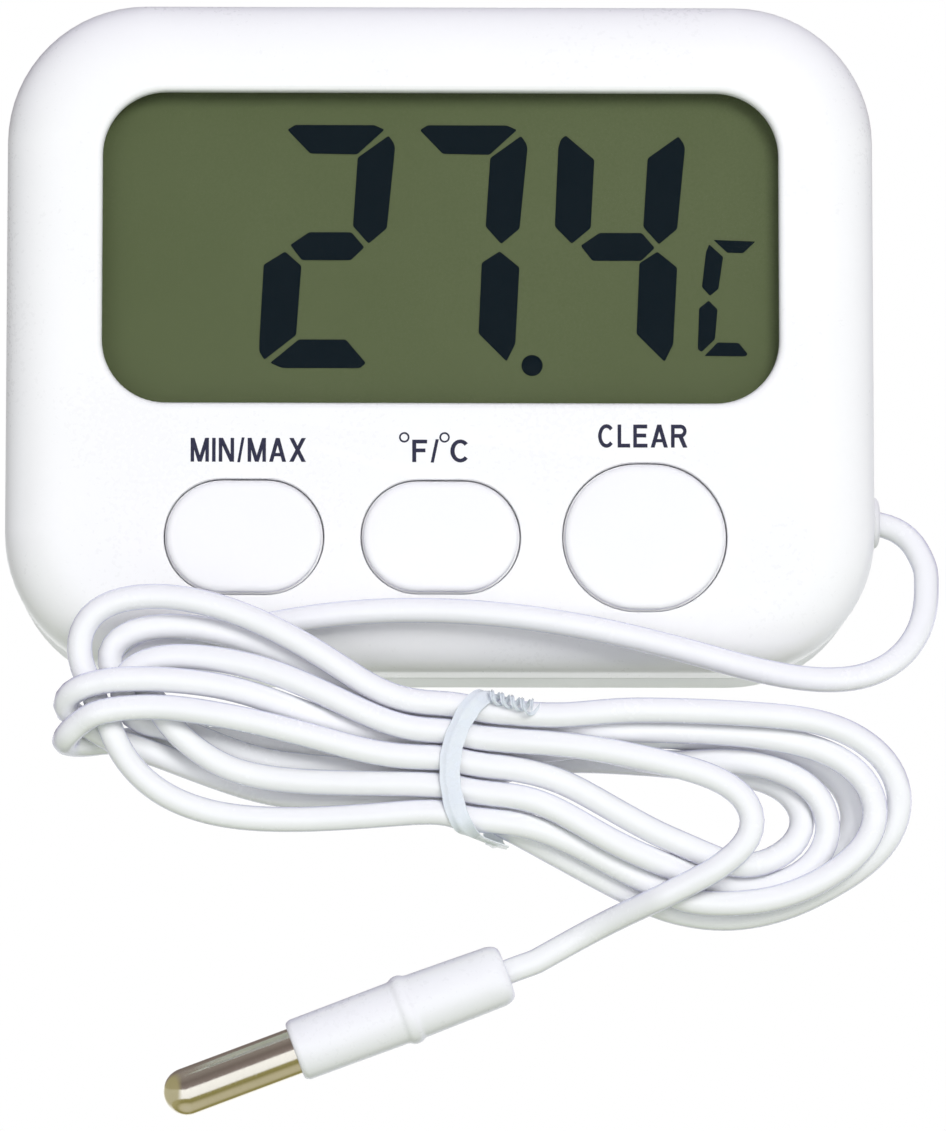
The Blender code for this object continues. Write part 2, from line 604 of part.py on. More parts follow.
# Way points of each half turn as (x, z, depth before the hank's lean).
HALF_TURNS = {
    # Left: from the tie along the top, round the left end, and back below.
    "P": [(-3.5, -28.4, 25.0), (-9.5, -24.6, 25.2), (-16.0, -21.3, 25.0), (-22.5, -19.9, 24.8),
          (-28.0, -21.0, 24.6), (-29.2, -24.2, 24.6), (-26.8, -28.8, 24.2), (-25.6, -32.4, 24.0),
          (-22.6, -35.8, 24.0), (-18.0, -37.6, 24.2), (-12.0, -38.0, 24.4), (-5.0, -37.6, 24.6)],
    "Q": [(-4.5, -28.8, 23.4), (-10.5, -25.6, 23.0), (-16.5, -23.1, 22.8), (-22.5, -22.3, 22.8),
          (-26.8, -23.5, 22.9), (-27.2, -25.8, 23.0), (-23.4, -28.8, 23.4), (-20.4, -31.6, 23.6),
          (-17.2, -34.0, 23.8), (-12.0, -34.9, 24.0), (-6.0, -35.0, 24.6)],
    "R": [(-3.0, -30.6, 25.2), (-8.5, -28.2, 25.2), (-14.0, -25.8, 25.0), (-20.0, -24.7, 24.9),
          (-24.2, -25.0, 24.8), (-26.4, -26.9, 24.4), (-24.4, -29.2, 23.2), (-19.6, -31.2, 22.2),
          (-14.6, -33.3, 22.0), (-9.0, -33.9, 22.0), (-4.0, -34.3, 22.0)],
    "S": [(-5.5, -30.9, 24.0), (-10.0, -29.3, 26.2), (-16.0, -27.2, 27.0), (-22.0, -26.5, 27.0),
          (-27.8, -26.7, 26.8), (-30.6, -28.4, 25.0), (-29.0, -31.0, 21.6), (-24.0, -32.4, 20.0),
          (-18.4, -34.6, 20.2), (-12.5, -36.4, 20.4), (-5.5, -36.2, 21.6)],
    "T": [(-4.5, -32.7, 25.8), (-10.0, -31.1, 26.6), (-17.0, -29.4, 27.0), (-24.0, -28.6, 27.0),
          (-28.8, -29.8, 26.2), (-30.2, -31.4, 23.4), (-26.4, -31.8, 20.2), (-18.5, -31.6, 19.4),
          (-11.0, -32.4, 19.4), (-5.0, -33.2, 19.6)],
    "U": [(-14.0, -22.4, 21.2), (-19.5, -23.6, 21.0), (-24.0, -24.4, 21.0), (-26.4, -26.4, 21.0),
          (-24.6, -28.8, 20.6), (-20.0, -30.8, 18.8), (-14.0, -34.2, 18.4), (-6.0, -35.4, 19.4)],
    # Right: from the tie along the bottom, round the right end, and back on top.
    "A": [(7.7, -40.0, 21.6), (14.5, -43.7, 21.4), (20.0, -46.0, 21.6), (25.3, -45.9, 22.0),
          (30.3, -43.8, 22.2), (34.8, -40.9, 22.4), (36.9, -36.9, 22.6), (35.6, -33.0, 23.0),
          (31.2, -30.3, 23.6), (24.0, -29.4, 24.0), (14.0, -29.2, 24.4), (7.5, -30.0, 24.8)],
    "B": [(7.8, -38.4, 24.2), (14.5, -41.9, 24.0), (20.5, -44.4, 23.8), (26.0, -44.6, 23.8),
          (31.0, -42.4, 24.2), (34.4, -39.4, 24.6), (34.8, -35.8, 24.8), (31.6, -32.4, 24.4),
          (26.0, -31.2, 23.2), (17.0, -30.8, 22.6), (8.5, -30.9, 22.4)],
    "C": [(7.5, -38.9, 19.6), (14.5, -42.7, 19.2), (21.0, -45.6, 19.2), (27.0, -44.4, 19.8),
          (31.6, -41.4, 21.4), (33.5, -37.5, 22.6), (31.6, -33.9, 22.6), (26.4, -32.2, 21.4),
          (18.5, -31.9, 20.6), (9.5, -32.0, 20.6)],
    "D": [(7.0, -36.0, 25.0), (13.0, -39.4, 25.0), (18.8, -42.2, 24.2), (24.5, -44.0, 22.0),
          (28.8, -42.6, 22.4), (31.2, -38.8, 24.6), (30.2, -35.4, 24.4), (26.0, -33.4, 22.8),
          (18.5, -32.9, 21.4), (9.0, -32.0, 19.6)],
    "E": [(8.5, -34.1, 25.2), (14.0, -37.2, 25.2), (19.0, -40.0, 24.4), (24.0, -42.2, 23.0),
          (28.2, -40.6, 23.0), (29.8, -37.6, 23.0), (27.4, -34.9, 22.4), (21.0, -33.9, 20.2),
          (13.0, -33.2, 19.0), (7.0, -33.0, 20.6)],
}
# The order in which the cable runs through slots and half turns. A minus sign
# means that the half turn is run backwards.
ROUTE = ["U", "B2", "C", "M2", "S", "M4", "A", "F1", "P", "F5", "B", "M1", "Q", "F4",
         "D", "B1", "-T", "F3", "E", "M3", "-R", "F2"]
# (x, z, depth) from inside the case, out of the right side, round and across the front.
ENTRY = [(31.5, EXIT_Z, EXIT_D), (33.5, EXIT_Z, EXIT_D), (35.6, -14.5, 10.6), (37.8, -15.6, 11.4),
         (39.2, -18.2, 13.0), (39.3, -21.6, 15.0), (37.8, -24.6, 17.2), (34.6, -26.4, 19.2),
         (30.4, -26.7, 20.6), (25.8, -26.0, 21.2), (19.0, -24.2, 21.1), (12.0, -22.6, 21.1),
         (4.5, -21.5, 21.1), (-3.5, -21.2, 21.1), (-9.4, -21.6, 21.2)]
# The free end, columns as for a half turn: right from the tie, over the strands, to the pivot.
LEAD = [(6.4, -31.0, 25.4), (13.0, -32.2, 25.8), (18.4, -33.3, 26.4), (22.6, -34.5, 26.6),
        (25.1, -36.5, 26.8), (25.2, -39.0, 27.2), (22.5, -41.2, 27.4), (18.1, -43.6, 26.8),
        (14.8, -45.3, 24.4)]

PATH_STEP = 1.5
CURVE_STEPS = 24       # fine points between two way points
NO_CASE = -100.0       # depth that stands for "beside the case"

# Tuning of spread(). Triples are for x, depth and z.
NEIGHBOUR_RUN = 6.0    # points nearer than this along the cable never push each other
PAIR_REACH = 4.0       # pairs nearer than this are watched
PAIR_ROUNDS = 12       # rounds between fresh lists of pairs
GAP_SPARE = 0.03
PUSH_SHARE = np.array([0.22, 0.55, 0.22])
PUSH_LIMIT = 0.25
PULL_BACK = np.array([0.07, 0.002, 0.07])   # towards where the points started
EASE_DEPTH, EASE_DEPTH_LATE, LATE_ROUNDS = 0.32, 0.14, 50   # smoothing in depth
TIE_HOLD = 0.8         # points this near a slot stay put
START_HOLD, END_HOLD = 12.0, 5.0            # lengths of cable that stay put
CASE_FREE_RUN = 26.0   # beyond this length the cable is kept in front of the case
CASE_GAP = 0.35
CASE_PROBES = ((0, 0), (0.9, 0), (-0.9, 0), (0, 0.9), (0, -0.9))


def lean(z):
    """Change of depth: the hank leans back as it hangs below the case."""
    below = max(0.0, -28.0 - z)
    return -0.30 * below * below / (below + 2.0)


def hang(d):
    """How far below its way point the cable hangs: more where it stands further forward."""
    return 1.24 + 0.108 * (d - 19.5)


def hung(way_points):
    """Way points (x, z, depth) with lean and hang applied, as (x, d, z)."""
    leant = [(x, d + lean(z), z) for x, z, d in way_points]
    return [(x, d, z - hang(d)) for x, d, z in leant]


def tie_place(across, forward, along):
    """A place by its offsets from the tie's middle: up across the strands, forward, along."""
    dir_x, dir_z = math.cos(TIE_ANGLE), math.sin(TIE_ANGLE)
    return (TIE_C[0] + along * dir_x - across * dir_z, TIE_D + forward,
            TIE_C[1] + along * dir_z + across * dir_x)


def slot_place(slot, along):
    across, layer = SLOTS[slot]
    return tie_place(across, layer * LAYER, along)


def blend(first, last, start, end, t):
    return (end - t) / (end - start) * first + (t - start) / (end - start) * last


def smooth_curve(points, step):
    """Centripetal Catmull-Rom through the points, resampled to even steps."""
    pts = np.array(points, float)
    pts = np.vstack([2 * pts[0] - pts[1], pts, 2 * pts[-1] - pts[-2]])
    fine = []
    for p0, p1, p2, p3 in zip(pts, pts[1:], pts[2:], pts[3:]):
        t1 = max(np.linalg.norm(p1 - p0) ** 0.5, 1e-6)
        t2 = t1 + max(np.linalg.norm(p2 - p1) ** 0.5, 1e-6)
        t3 = t2 + max(np.linalg.norm(p3 - p2) ** 0.5, 1e-6)
        for t in np.linspace(t1, t2, CURVE_STEPS, endpoint=False):
            middle = blend(p1, p2, t1, t2, t)
            before = blend(blend(p0, p1, 0.0, t1, t), middle, 0.0, t2, t)
            after = blend(middle, blend(p2, p3, t2, t3, t), t1, t3, t)
            fine.append(blend(before, after, t1, t2, t))
    fine.append(pts[-2])
    fine = np.array(fine)
    run = np.concatenate([[0], np.cumsum(np.linalg.norm(np.diff(fine, axis=0), axis=1))])
    count = int(round(run[-1] / step))
    even = np.linspace(0, run[-1], count + 1)
    return np.stack([np.interp(even, run, fine[:, k]) for k in range(3)], axis=1)


def case_depth(x, z):
    """Depth of the case's front surface at each (x, z), or NO_CASE beside the case."""
    over_x = np.abs(x) - (CASE_W / 2 - CORNER_R)
    over_z = np.abs(z) - (CASE_H / 2 - CORNER_R)
    away = (np.hypot(np.maximum(over_x, 0), np.maximum(over_z, 0))
            + np.minimum(np.maximum(over_x, over_z), 0))
    inside = CORNER_R - away
    t = np.clip((FRONT_IN - inside) / FRONT_IN, 0, 1)
    depth = SHOULDER_D + FRONT_BACK * np.sqrt(1 - t * t)
    return np.where(inside > 0, depth, NO_CASE)


def spread(pts, step, rounds, ease):
    """Moves touching strands apart, mostly in depth, and holds the front view's shape.

    ease is the smoothing in x and z.
    """
    anchor = pts.copy()
    count = len(pts)
    index = np.arange(count)
    run = index * step
    apart = np.triu(np.abs(index[:, None] - index[None, :]) * step >= NEIGHBOUR_RUN)
    tie = np.array([slot_place(slot, along) for slot in SLOTS for along in (-0.8, 0.0, 0.8)])
    free = np.ones(count)
    free[np.linalg.norm(pts[:, None] - tie[None], axis=2).min(axis=1) < TIE_HOLD] = 0.0
    free[(run < START_HOLD) | (run > run[-1] - END_HOLD)] = 0.0
    for turn in range(rounds):
        if turn % PAIR_ROUNDS == 0:
            dist = np.linalg.norm(pts[:, None, :] - pts[None, :, :], axis=2)
            first, second = np.nonzero(apart & (dist < PAIR_REACH))
        diff = pts[first] - pts[second]
        dist = np.linalg.norm(diff, axis=1) + 1e-9
        part = diff * (np.clip(STRAND_GAP + GAP_SPARE - dist, 0, None) / dist)[:, None]
        push = np.zeros_like(pts)
        np.add.at(push, first, part)
        np.add.at(push, second, -part)
        push = np.clip(push * PUSH_SHARE, -PUSH_LIMIT, PUSH_LIMIT)
        soft = np.zeros_like(pts)
        soft[1:-1] = (pts[:-2] + pts[2:]) / 2 - pts[1:-1]
        ease_depth = EASE_DEPTH if turn < rounds - LATE_ROUNDS else EASE_DEPTH_LATE
        move = push + soft * np.array([ease, ease_depth, ease])
        move += (anchor - pts) * PULL_BACK
        pts = pts + move * free[:, None]
        need = np.full(count, NO_CASE)
        for off_x, off_z in CASE_PROBES:
            need = np.maximum(need, case_depth(pts[:, 0] + off_x, pts[:, 2] + off_z))
        least = need + CABLE_CLEAR_R + CASE_GAP
        low = (run > CASE_FREE_RUN) & (need > 0) & (pts[:, 1] < least)
        pts[low, 1] = least[low]
    return pts


def cable_path():
    """Centre line of the whole cable from the case to the pivot, in (x, d, z)."""
    # The hang sets in over the way points that follow the exit.
    route = [(x, d, z - hang(d) * min(1.0, max(0.0, (k - 3) / 4)))
             for k, (x, z, d) in enumerate(ENTRY)]
    for name in ROUTE:
        if name in SLOTS:
            reach = SLOT_REACH if route[-1][0] < TIE_C[0] else -SLOT_REACH
            route += [slot_place(name, along) for along in (-reach, reach)]
        else:
            turn = HALF_TURNS[name.strip("-")]
            route += hung(turn[::-1] if name.startswith("-") else turn)
    route += hung(LEAD) + [PIVOT]
    pts = spread(smooth_curve(route, PATH_STEP), PATH_STEP, rounds=160, ease=0.10)
    for _ in range(2):
        pts = spread(smooth_curve(pts, PATH_STEP), PATH_STEP, rounds=120, ease=0.04)
    return pts


def build_cable():
    path = cable_path()
    keep = path[::2]
    if (len(path) - 1) % 2:
        keep = np.vstack([keep, path[-1]])
    line = [(x, -d, z) for x, d, z in keep]
    place("sensor_cable", tube(line, CABLE_R, 6, end_angles=(0.5, 1.0, 1.4)), "cable_pvc")


def build_tie():
    """A flat band round the middle of the hank."""
    inner = outline(2 * BAND_HALF_ACROSS, 2 * BAND_HALF_DEPTH, BAND_CORNER, 4)
    outer = outline(2 * (BAND_HALF_ACROSS + BAND_T), 2 * (BAND_HALF_DEPTH + BAND_T),
                    BAND_CORNER + BAND_T, 4)
    section = ((inner, -BAND_HALF_W), (outer, -BAND_HALF_W),
               (outer, BAND_HALF_W), (inner, BAND_HALF_W))
    rings = [[tie_place(across, forward, along) for across, forward in ring]
             for ring, along in section]
    place("cable_tie", loft(rings, closed=True), "tie_film")


# ================================ probe =====================================
# The pieces of the probe swing about the pivot, so they have their origin there.
def build_probe_lead(rear, axis):
    pivot = Vector((PIVOT[0], -PIVOT[1], PIVOT[2]))
    heading = (rear - axis * 2.5 - pivot).normalized()
    line = [pivot + heading * 1.35, pivot + heading * 2.4]
    line += [rear + axis * along for along in (-1.6, -0.2, 5.0, SLEEVE_L - 7.0)]
    place("probe_lead", tube(line, CABLE_R, 8), "cable_pvc", PIVOT)


def build_probe_sleeve(rear, axis):
    # (along, radius) forward outside, over the raised ring, then back down the bore
    profile = [(0, 1.35), (0, 2.05), (0.45, 2.5), (RING_AT - 0.1, SLEEVE_R),
               (RING_AT + 0.1, 2.8), (RING_AT + 1.1, 2.8), (RING_AT + 1.3, 2.56),
               (SLEEVE_L - 0.4, 2.5), (SLEEVE_L, 2.38), (SLEEVE_L, 2.2),
               (POCKET_AT, 2.2), (POCKET_AT, 1.35)]
    place("probe_sleeve", lathe_along(rear, axis, profile, 18, closed=True),
          "sleeve_white", PIVOT)


def build_probe_tip(rear, axis):
    """A tube open at the rear, with a round closed end."""
    pole_r = 0.12
    open_at = POCKET_AT + 0.3
    centre = PROBE_L - TIP_R
    inner = []
    for i in range(1, 5):
        angle = math.pi / 2 * (1 - i / 4)
        inner.append((centre + TIP_BORE_R * math.sin(angle) * 0.75,
                      TIP_BORE_R * math.cos(angle)))
    profile = [(inner[0][0] + 0.12, pole_r)] + inner
    profile += [(open_at, TIP_BORE_R), (open_at, TIP_R)]
    for i in range(7):
        angle = math.pi / 2 * i / 6
        profile.append((centre + TIP_R * math.sin(angle), max(TIP_R * math.cos(angle), pole_r)))
    place("probe_tip", lathe_along(rear, axis, profile, 16), "tip_steel", PIVOT)


def build_thermistor(rear, axis):
    bead = [(0, 0.2), (0.25, 0.7), (0.9, 1.0), (1.6, 0.95), (2.2, 0.5), (2.4, 0.15)]
    place("thermistor", lathe_along(rear + axis * (PROBE_L - 4.6), axis, bead, 10),
          "bead_resin", PIVOT)


def build_probe():
    axis = Vector((PROBE_DIR[0], 0, PROBE_DIR[1])).normalized()
    rear = Vector((PROBE_REAR[0], -PIVOT[1], PROBE_REAR[1]))
    build_probe_lead(rear, axis)
    build_probe_sleeve(rear, axis)
    build_probe_tip(rear, axis)
    build_thermistor(rear, axis)


# ================================ build =====================================
def build():
    for obj in list(bpy.data.objects):
        bpy.data.objects.remove(obj, do_unlink=True)
    make_materials()
    build_front_shell()
    build_rear_shell()
    build_display()
    build_board()
    build_keys()
    build_battery()
    build_battery_spring()
    build_contacts()
    build_screws()
    build_door()
    build_stand()
    build_cable_exit()
    build_cable()
    build_probe()
    build_tie()


build()
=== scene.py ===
"""Looks for a maximum minimum thermometer: shells, display, keys, cable, probe and
rear fittings round the CAD model.

The case stands upright with its face towards -Y, +X to the viewer's right and +Z up.
A point in the code is (x, d, z) in millimetres, where d is the depth in front of the
flat rear face, so y = -d. Shapes made straight in Blender's axes go through loft_world.
"""

import json
from math import cos, hypot, pi, radians, sin, sqrt

import bmesh
import bpy
import numpy as np
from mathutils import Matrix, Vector
from mathutils.geometry import delaunay_2d_cdt


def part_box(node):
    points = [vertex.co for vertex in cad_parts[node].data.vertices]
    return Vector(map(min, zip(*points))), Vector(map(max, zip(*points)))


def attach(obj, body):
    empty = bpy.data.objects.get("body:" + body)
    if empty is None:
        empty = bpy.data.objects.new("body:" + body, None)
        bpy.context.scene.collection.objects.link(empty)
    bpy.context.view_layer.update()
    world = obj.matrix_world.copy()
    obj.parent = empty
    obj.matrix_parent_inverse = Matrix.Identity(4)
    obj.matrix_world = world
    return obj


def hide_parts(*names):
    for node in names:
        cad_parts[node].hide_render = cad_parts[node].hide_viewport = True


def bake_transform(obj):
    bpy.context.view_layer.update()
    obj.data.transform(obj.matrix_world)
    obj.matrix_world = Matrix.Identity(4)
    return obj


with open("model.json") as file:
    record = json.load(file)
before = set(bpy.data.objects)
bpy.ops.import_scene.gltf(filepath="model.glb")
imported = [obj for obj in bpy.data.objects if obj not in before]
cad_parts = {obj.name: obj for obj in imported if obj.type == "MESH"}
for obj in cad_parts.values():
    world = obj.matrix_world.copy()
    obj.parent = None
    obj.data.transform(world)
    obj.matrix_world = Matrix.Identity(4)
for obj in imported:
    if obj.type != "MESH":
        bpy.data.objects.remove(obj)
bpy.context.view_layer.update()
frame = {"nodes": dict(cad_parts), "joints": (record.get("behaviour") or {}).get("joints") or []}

MM = 0.001
NODES = frame["nodes"]
JOINTS = {joint["name"]: joint for joint in frame["joints"]}


def span(node):
    """(x0, x1, d0, d1, z0, z1) of a CAD node in mm."""
    lo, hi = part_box(node)
    return (lo.x / MM, hi.x / MM, -hi.y / MM, -lo.y / MM, lo.z / MM, hi.z / MM)


# ============================== dimensions ===================================
_x0, _x1, _, CASE_D, _z0, _z1 = span("front_shell")
CASE_W, CASE_H = _x1 - _x0, _z1 - _z0
CORNER_R = 11.2                     # case corners, seen from the front
FRONT_IN, FRONT_BACK = 5.5, 4.5     # round of the front edge: inwards, and back in depth
REAR_R = 2.0
WALL, FRONT_WALL = 1.6, 1.85
PART_D, SEAM = 10.5, 0.3            # depth and width of the gap between the shells

WIN_LAP = 0.8                       # how far the window reaches behind its opening's edge
_x0, _x1, _, _, _z0, _z1 = span("display_window")
WIN_W, WIN_H = _x1 - _x0 - 2 * WIN_LAP, _z1 - _z0 - 2 * WIN_LAP
WIN_Z, WIN_R, WIN_ROUND = (_z0 + _z1) / 2, 5.1, 0.6
FILM_D = span("lcd_front_polariser")[3]

KEY_FLANGE, KEY_GAP, KEY_ROUND = 0.9, 0.25, 0.16
KEY_TOP = span("minmax_key")[3]

CELL_R, CELL_L, CELL_D, CELL_Z = 5.25, 44.5, 6.8, 11.0
WELL_W, WELL_H, DOOR_GAP = 50.0, 12.0, 0.3
HOOK_X = 12.0                       # door hooks, left and right of the middle
STAND_D, STAND_Z = 1.7, -4.2        # stand axis
CORNER_SCREWS = [(side * x, z) for x, z in ((20.0, 22.6), (28.2, -20.2)) for side in (-1, 1)]
BOARD_POSTS = [(27.0, -12.5), (-27.0, -12.5)]

CABLE_R = 1.0
EXIT_D, EXIT_Z = 10.5, -14.4        # cable hole in the right-hand side
STRAND_GAP = 2.16                   # least distance between centre lines of strands
TIE_X, TIE_D, TIE_Z = 1.7, 21.6, -34.9
TIE_ANGLE = radians(-13.0)          # of the strands through the tie

_p = JOINTS["probe_swing"]["pos_m"]
PIVOT = (_p[0] / MM, -_p[1] / MM, _p[2] / MM)
# Probe axis and the middle of its cable end, in Blender's axes.
PROBE_AXIS = Vector((-0.9367, 0, -0.3501)).normalized()
PROBE_START = Vector((5.3, -PIVOT[1], -51.2))
PROBE_L, TIP_R = 29.0, 1.9
SLEEVE_L, RING_AT = 18.0, 8.0


# ============================== materials ===================================
class Nodes:
    """Short calls for building the node tree of a material or a world."""

    def __init__(self, owner):
        owner.use_nodes = True
        self.owner = owner
        self.tree = owner.node_tree
        self.shader = self.tree.nodes.get("Principled BSDF")

    def feed(self, socket, value):
        if isinstance(value, bpy.types.NodeSocket):
            self.tree.links.new(value, socket)
        else:
            socket.default_value = value

    def put(self, node, **inputs):
        for key, value in inputs.items():
            self.feed(node.inputs[key.replace("_", " ")], value)

    def shade(self, **inputs):
        self.put(self.shader, **inputs)

    def new(self, kind, **inputs):
        node = self.tree.nodes.new(kind)
        self.put(node, **inputs)
        return node

    def coords(self, stretch=None):
        where = self.new("ShaderNodeTexCoord").outputs["Object"]
        if stretch is None:
            return where
        return self.new("ShaderNodeMapping", Vector=where, Scale=stretch).outputs["Vector"]

    def noise(self, scale, detail=3.0, rough=0.55, where=None):
        return self.new("ShaderNodeTexNoise", Vector=where or self.coords(), Scale=scale,
                        Detail=detail, Roughness=rough).outputs["Fac"]

    def facing(self):
        return self.new("ShaderNodeLayerWeight", Blend=0.5).outputs["Facing"]

    def remap(self, value, to, over=(0.0, 1.0)):
        """Map the range `over` of a value onto the range `to`."""
        return self.new("ShaderNodeMapRange", Value=value, From_Min=over[0], From_Max=over[1],
                        To_Min=to[0], To_Max=to[1]).outputs["Result"]

    def mix(self, share, first, second):
        node = self.tree.nodes.new("ShaderNodeMix")
        node.data_type = "RGBA"
        self.feed(node.inputs[0], share)
        for index, colour in ((6, first), (7, second)):
            if isinstance(colour, tuple):
                colour = (*colour, 1.0)
            self.feed(node.inputs[index], colour)
        return node.outputs[2]

    def mix_shaders(self, share, first, second):
        node = self.new("ShaderNodeMixShader", Fac=share)
        self.feed(node.inputs[1], first)
        self.feed(node.inputs[2], second)
        return node.outputs[0]

    def ramp(self, value, stops):
        """Straight colour ramp; stops are (position, colour)."""
        node = self.new("ShaderNodeValToRGB", Fac=value)
        band = node.color_ramp
        while len(band.elements) > 1:
            band.elements.remove(band.elements[-1])
        band.elements[0].position, band.elements[0].color = stops[0][0], (*stops[0][1], 1)
        for position, colour in stops[1:]:
            band.elements.new(position).color = (*colour, 1)
        return node.outputs["Color"]

    def bump(self, height, strength, mm):
        return self.new("ShaderNodeBump", Height=height, Strength=strength,
                        Distance=mm * MM).outputs["Normal"]

    def finish(self, shader):
        self.feed(self.tree.nodes["Material Output"].inputs["Surface"], shader)


MAT = {}


def material(name):
    MAT[name] = bpy.data.materials.new(name)
    return Nodes(MAT[name])


def tint(colour, k):
    return tuple(min(1.0, c * k) for c in colour)


def surface(name, colour, rough, metal=0.0, patch=70.0, vary=0.03, grain=2600.0, grain_mm=0.02,
            grain_strength=0.35, rim=None, painted_shade_share=0.6, coat=0.0, stretch=None, wear=0.0):
    """A moulded, drawn or printed surface: slow colour drift, fine grain in colour,
    roughness and height, worn edges, and painted shade (the rim colour) where it turns away from
    view."""
    n = material(name)
    where = n.coords(stretch)
    slow = n.noise(scale=patch, detail=4.0, where=where)
    fine = n.noise(scale=grain, detail=2.0, rough=0.6, where=where)
    base = n.mix(n.remap(slow, to=(0, 1), over=(0.3, 0.7)),
                 tint(colour, 1 - vary), tint(colour, 1 + vary))
    base = n.mix(n.remap(fine, to=(0, 0.35), over=(0.35, 0.75)), base,
                 tint(colour, 1 - 1.6 * vary))
    if wear:
        edges = n.new("ShaderNodeNewGeometry").outputs["Pointiness"]
        base = n.mix(n.remap(edges, to=(0, wear), over=(0.52, 0.62)), base, tint(colour, 1.12))
    # painted shade: the rim colour is mixed into the base colour where the surface turns away
    # from view
    if rim:
        base = n.mix(n.remap(n.facing(), to=(0, painted_shade_share), over=(0.45, 1.0)), base, rim)
    drift = n.mix(0.5, n.mix(0.0, slow, slow), fine)
    n.shade(Base_Color=base,
            Roughness=n.remap(drift, to=(rough * 0.8, min(1.0, rough * 1.25)), over=(0.3, 0.7)),
            Metallic=metal, IOR=1.46, Coat_Weight=coat, Coat_Roughness=0.12,
            Normal=n.bump(fine, strength=grain_strength, mm=grain_mm))
    n.owner.diffuse_color = (*colour, 1)


def tip_steel():
    """Drawn and polished tube: faint lines round it, slight warm heat tint."""
    n = material("tip_steel")
    lines = n.noise(scale=2600.0, detail=2.0, rough=0.6, where=n.coords((1.0, 0.08, 1.0)))
    slow = n.noise(scale=260.0)
    n.shade(Base_Color=n.mix(slow, (0.80, 0.77, 0.70), (0.72, 0.70, 0.64)), Metallic=1.0,
            Roughness=n.remap(lines, to=(0.08, 0.20), over=(0.3, 0.7)),
            Normal=n.bump(lines, strength=0.12, mm=0.006))


def window_clear():
    """Clear moulded window: almost all light goes straight through, a little is mirrored."""
    n = material("window_clear")
    n.tree.nodes.remove(n.shader)
    clear = n.new("ShaderNodeBsdfTransparent", Color=(0.975, 0.985, 0.97, 1))
    rough = n.remap(n.noise(scale=900), to=(0.05, 0.12), over=(0.3, 0.7))
    waves = n.bump(n.noise(scale=160, detail=2.0), strength=0.08, mm=0.02)
    gloss = n.new("ShaderNodeBsdfGlossy", Color=(1, 1, 1, 1), Roughness=rough, Normal=waves)
    share = n.remap(n.facing(), to=(0.001, 0.30), over=(0.45, 1.0))
    n.finish(n.mix_shaders(share, clear.outputs[0], gloss.outputs[0]))
    n.owner.diffuse_color = (0.8, 0.85, 0.8, 0.3)


def lcd_glass():
    """See-through display glass."""
    n = material("lcd_glass")
    colour = (0.60, 0.68, 0.52)
    n.shade(Base_Color=n.mix(n.noise(scale=220), colour, tint(colour, 0.9)), Alpha=0.35,
            Roughness=n.remap(n.noise(scale=1500), to=(0.04, 0.14), over=(0.3, 0.7)))


def lcd_olive():
    """Reflective display film: olive with a very fine sparkle grain and slow drift."""
    n = material("lcd_olive")
    slow = n.noise(scale=28.0)
    fine = n.noise(scale=5200.0, detail=2.0, rough=0.7)
    base = n.mix(n.remap(slow, to=(0, 1), over=(0.35, 0.65)),
                 (0.106, 0.126, 0.061), (0.118, 0.138, 0.070))
    base = n.mix(n.remap(fine, to=(0, 0.5), over=(0.35, 0.7)), base, (0.096, 0.116, 0.056))
    n.shade(Base_Color=base, Roughness=n.remap(fine, to=(0.42, 0.6), over=(0.3, 0.7)),
            Specular_IOR_Level=0.12, Normal=n.bump(fine, strength=0.2, mm=0.006))


def lcd_segment_ink():
    n = material("lcd_segment_ink")
    fine = n.noise(scale=4200.0, detail=2.0)
    n.shade(Base_Color=n.mix(fine, (0.0022, 0.0068, 0.0115), (0.0045, 0.0098, 0.0160)),
            Roughness=n.remap(fine, to=(0.40, 0.6)), Specular_IOR_Level=0.10)


def label_ink():
    """Pad printed ink: dark, matt, very slightly uneven in cover."""
    n = material("label_ink")
    fine = n.noise(scale=3800.0)
    cover = n.remap(fine, to=(0, 1), over=(0.4, 0.8))
    n.shade(Base_Color=n.mix(cover, (0.012, 0.013, 0.040), (0.030, 0.031, 0.070)),
            Roughness=n.remap(fine, to=(0.45, 0.7)), Normal=n.bump(fine, strength=0.3, mm=0.008))


def board_green():
    """Green solder mask over darker laminate with fine copper lines."""
    n = material("board_green")
    cells = n.new("ShaderNodeTexVoronoi", Vector=n.coords())
    cells.feature = "DISTANCE_TO_EDGE"
    cells.distance = "CHEBYCHEV"
    n.put(cells, Scale=420.0)
    line = n.remap(cells.outputs["Distance"], to=(1, 0), over=(0.04, 0.09))
    base = n.mix(n.noise(scale=300), (0.010, 0.120, 0.045), (0.020, 0.165, 0.060))
    n.shade(Base_Color=n.mix(line, base, (0.060, 0.260, 0.090)),
            Roughness=n.remap(n.noise(scale=2500), to=(0.25, 0.45), over=(0.3, 0.7)),
            Normal=n.bump(line, strength=0.6, mm=0.03))


def cell_jacket():
    """Plain printed battery jacket: blue with a copper band at the positive end."""
    n = material("cell_jacket")
    x = n.new("ShaderNodeSeparateXYZ", Vector=n.coords()).outputs["X"]
    along = n.remap(x, to=(0, 1), over=(-0.0204, 0.0227))
    base = n.ramp(along, [(0.0, (0.03, 0.05, 0.13)), (0.69, (0.03, 0.06, 0.16)),
                          (0.70, (0.75, 0.75, 0.75)), (0.715, (0.45, 0.22, 0.08)),
                          (0.96, (0.52, 0.27, 0.11))])
    specks = n.remap(n.noise(scale=1800), to=(0, 0.3), over=(0.4, 0.8))
    n.shade(Base_Color=n.mix(specks, base, (0.02, 0.02, 0.04)), Metallic=0.35,
            Roughness=n.remap(n.noise(scale=600), to=(0.22, 0.38), over=(0.3, 0.7)),
            Normal=n.bump(n.noise(scale=1200), strength=0.15, mm=0.01))


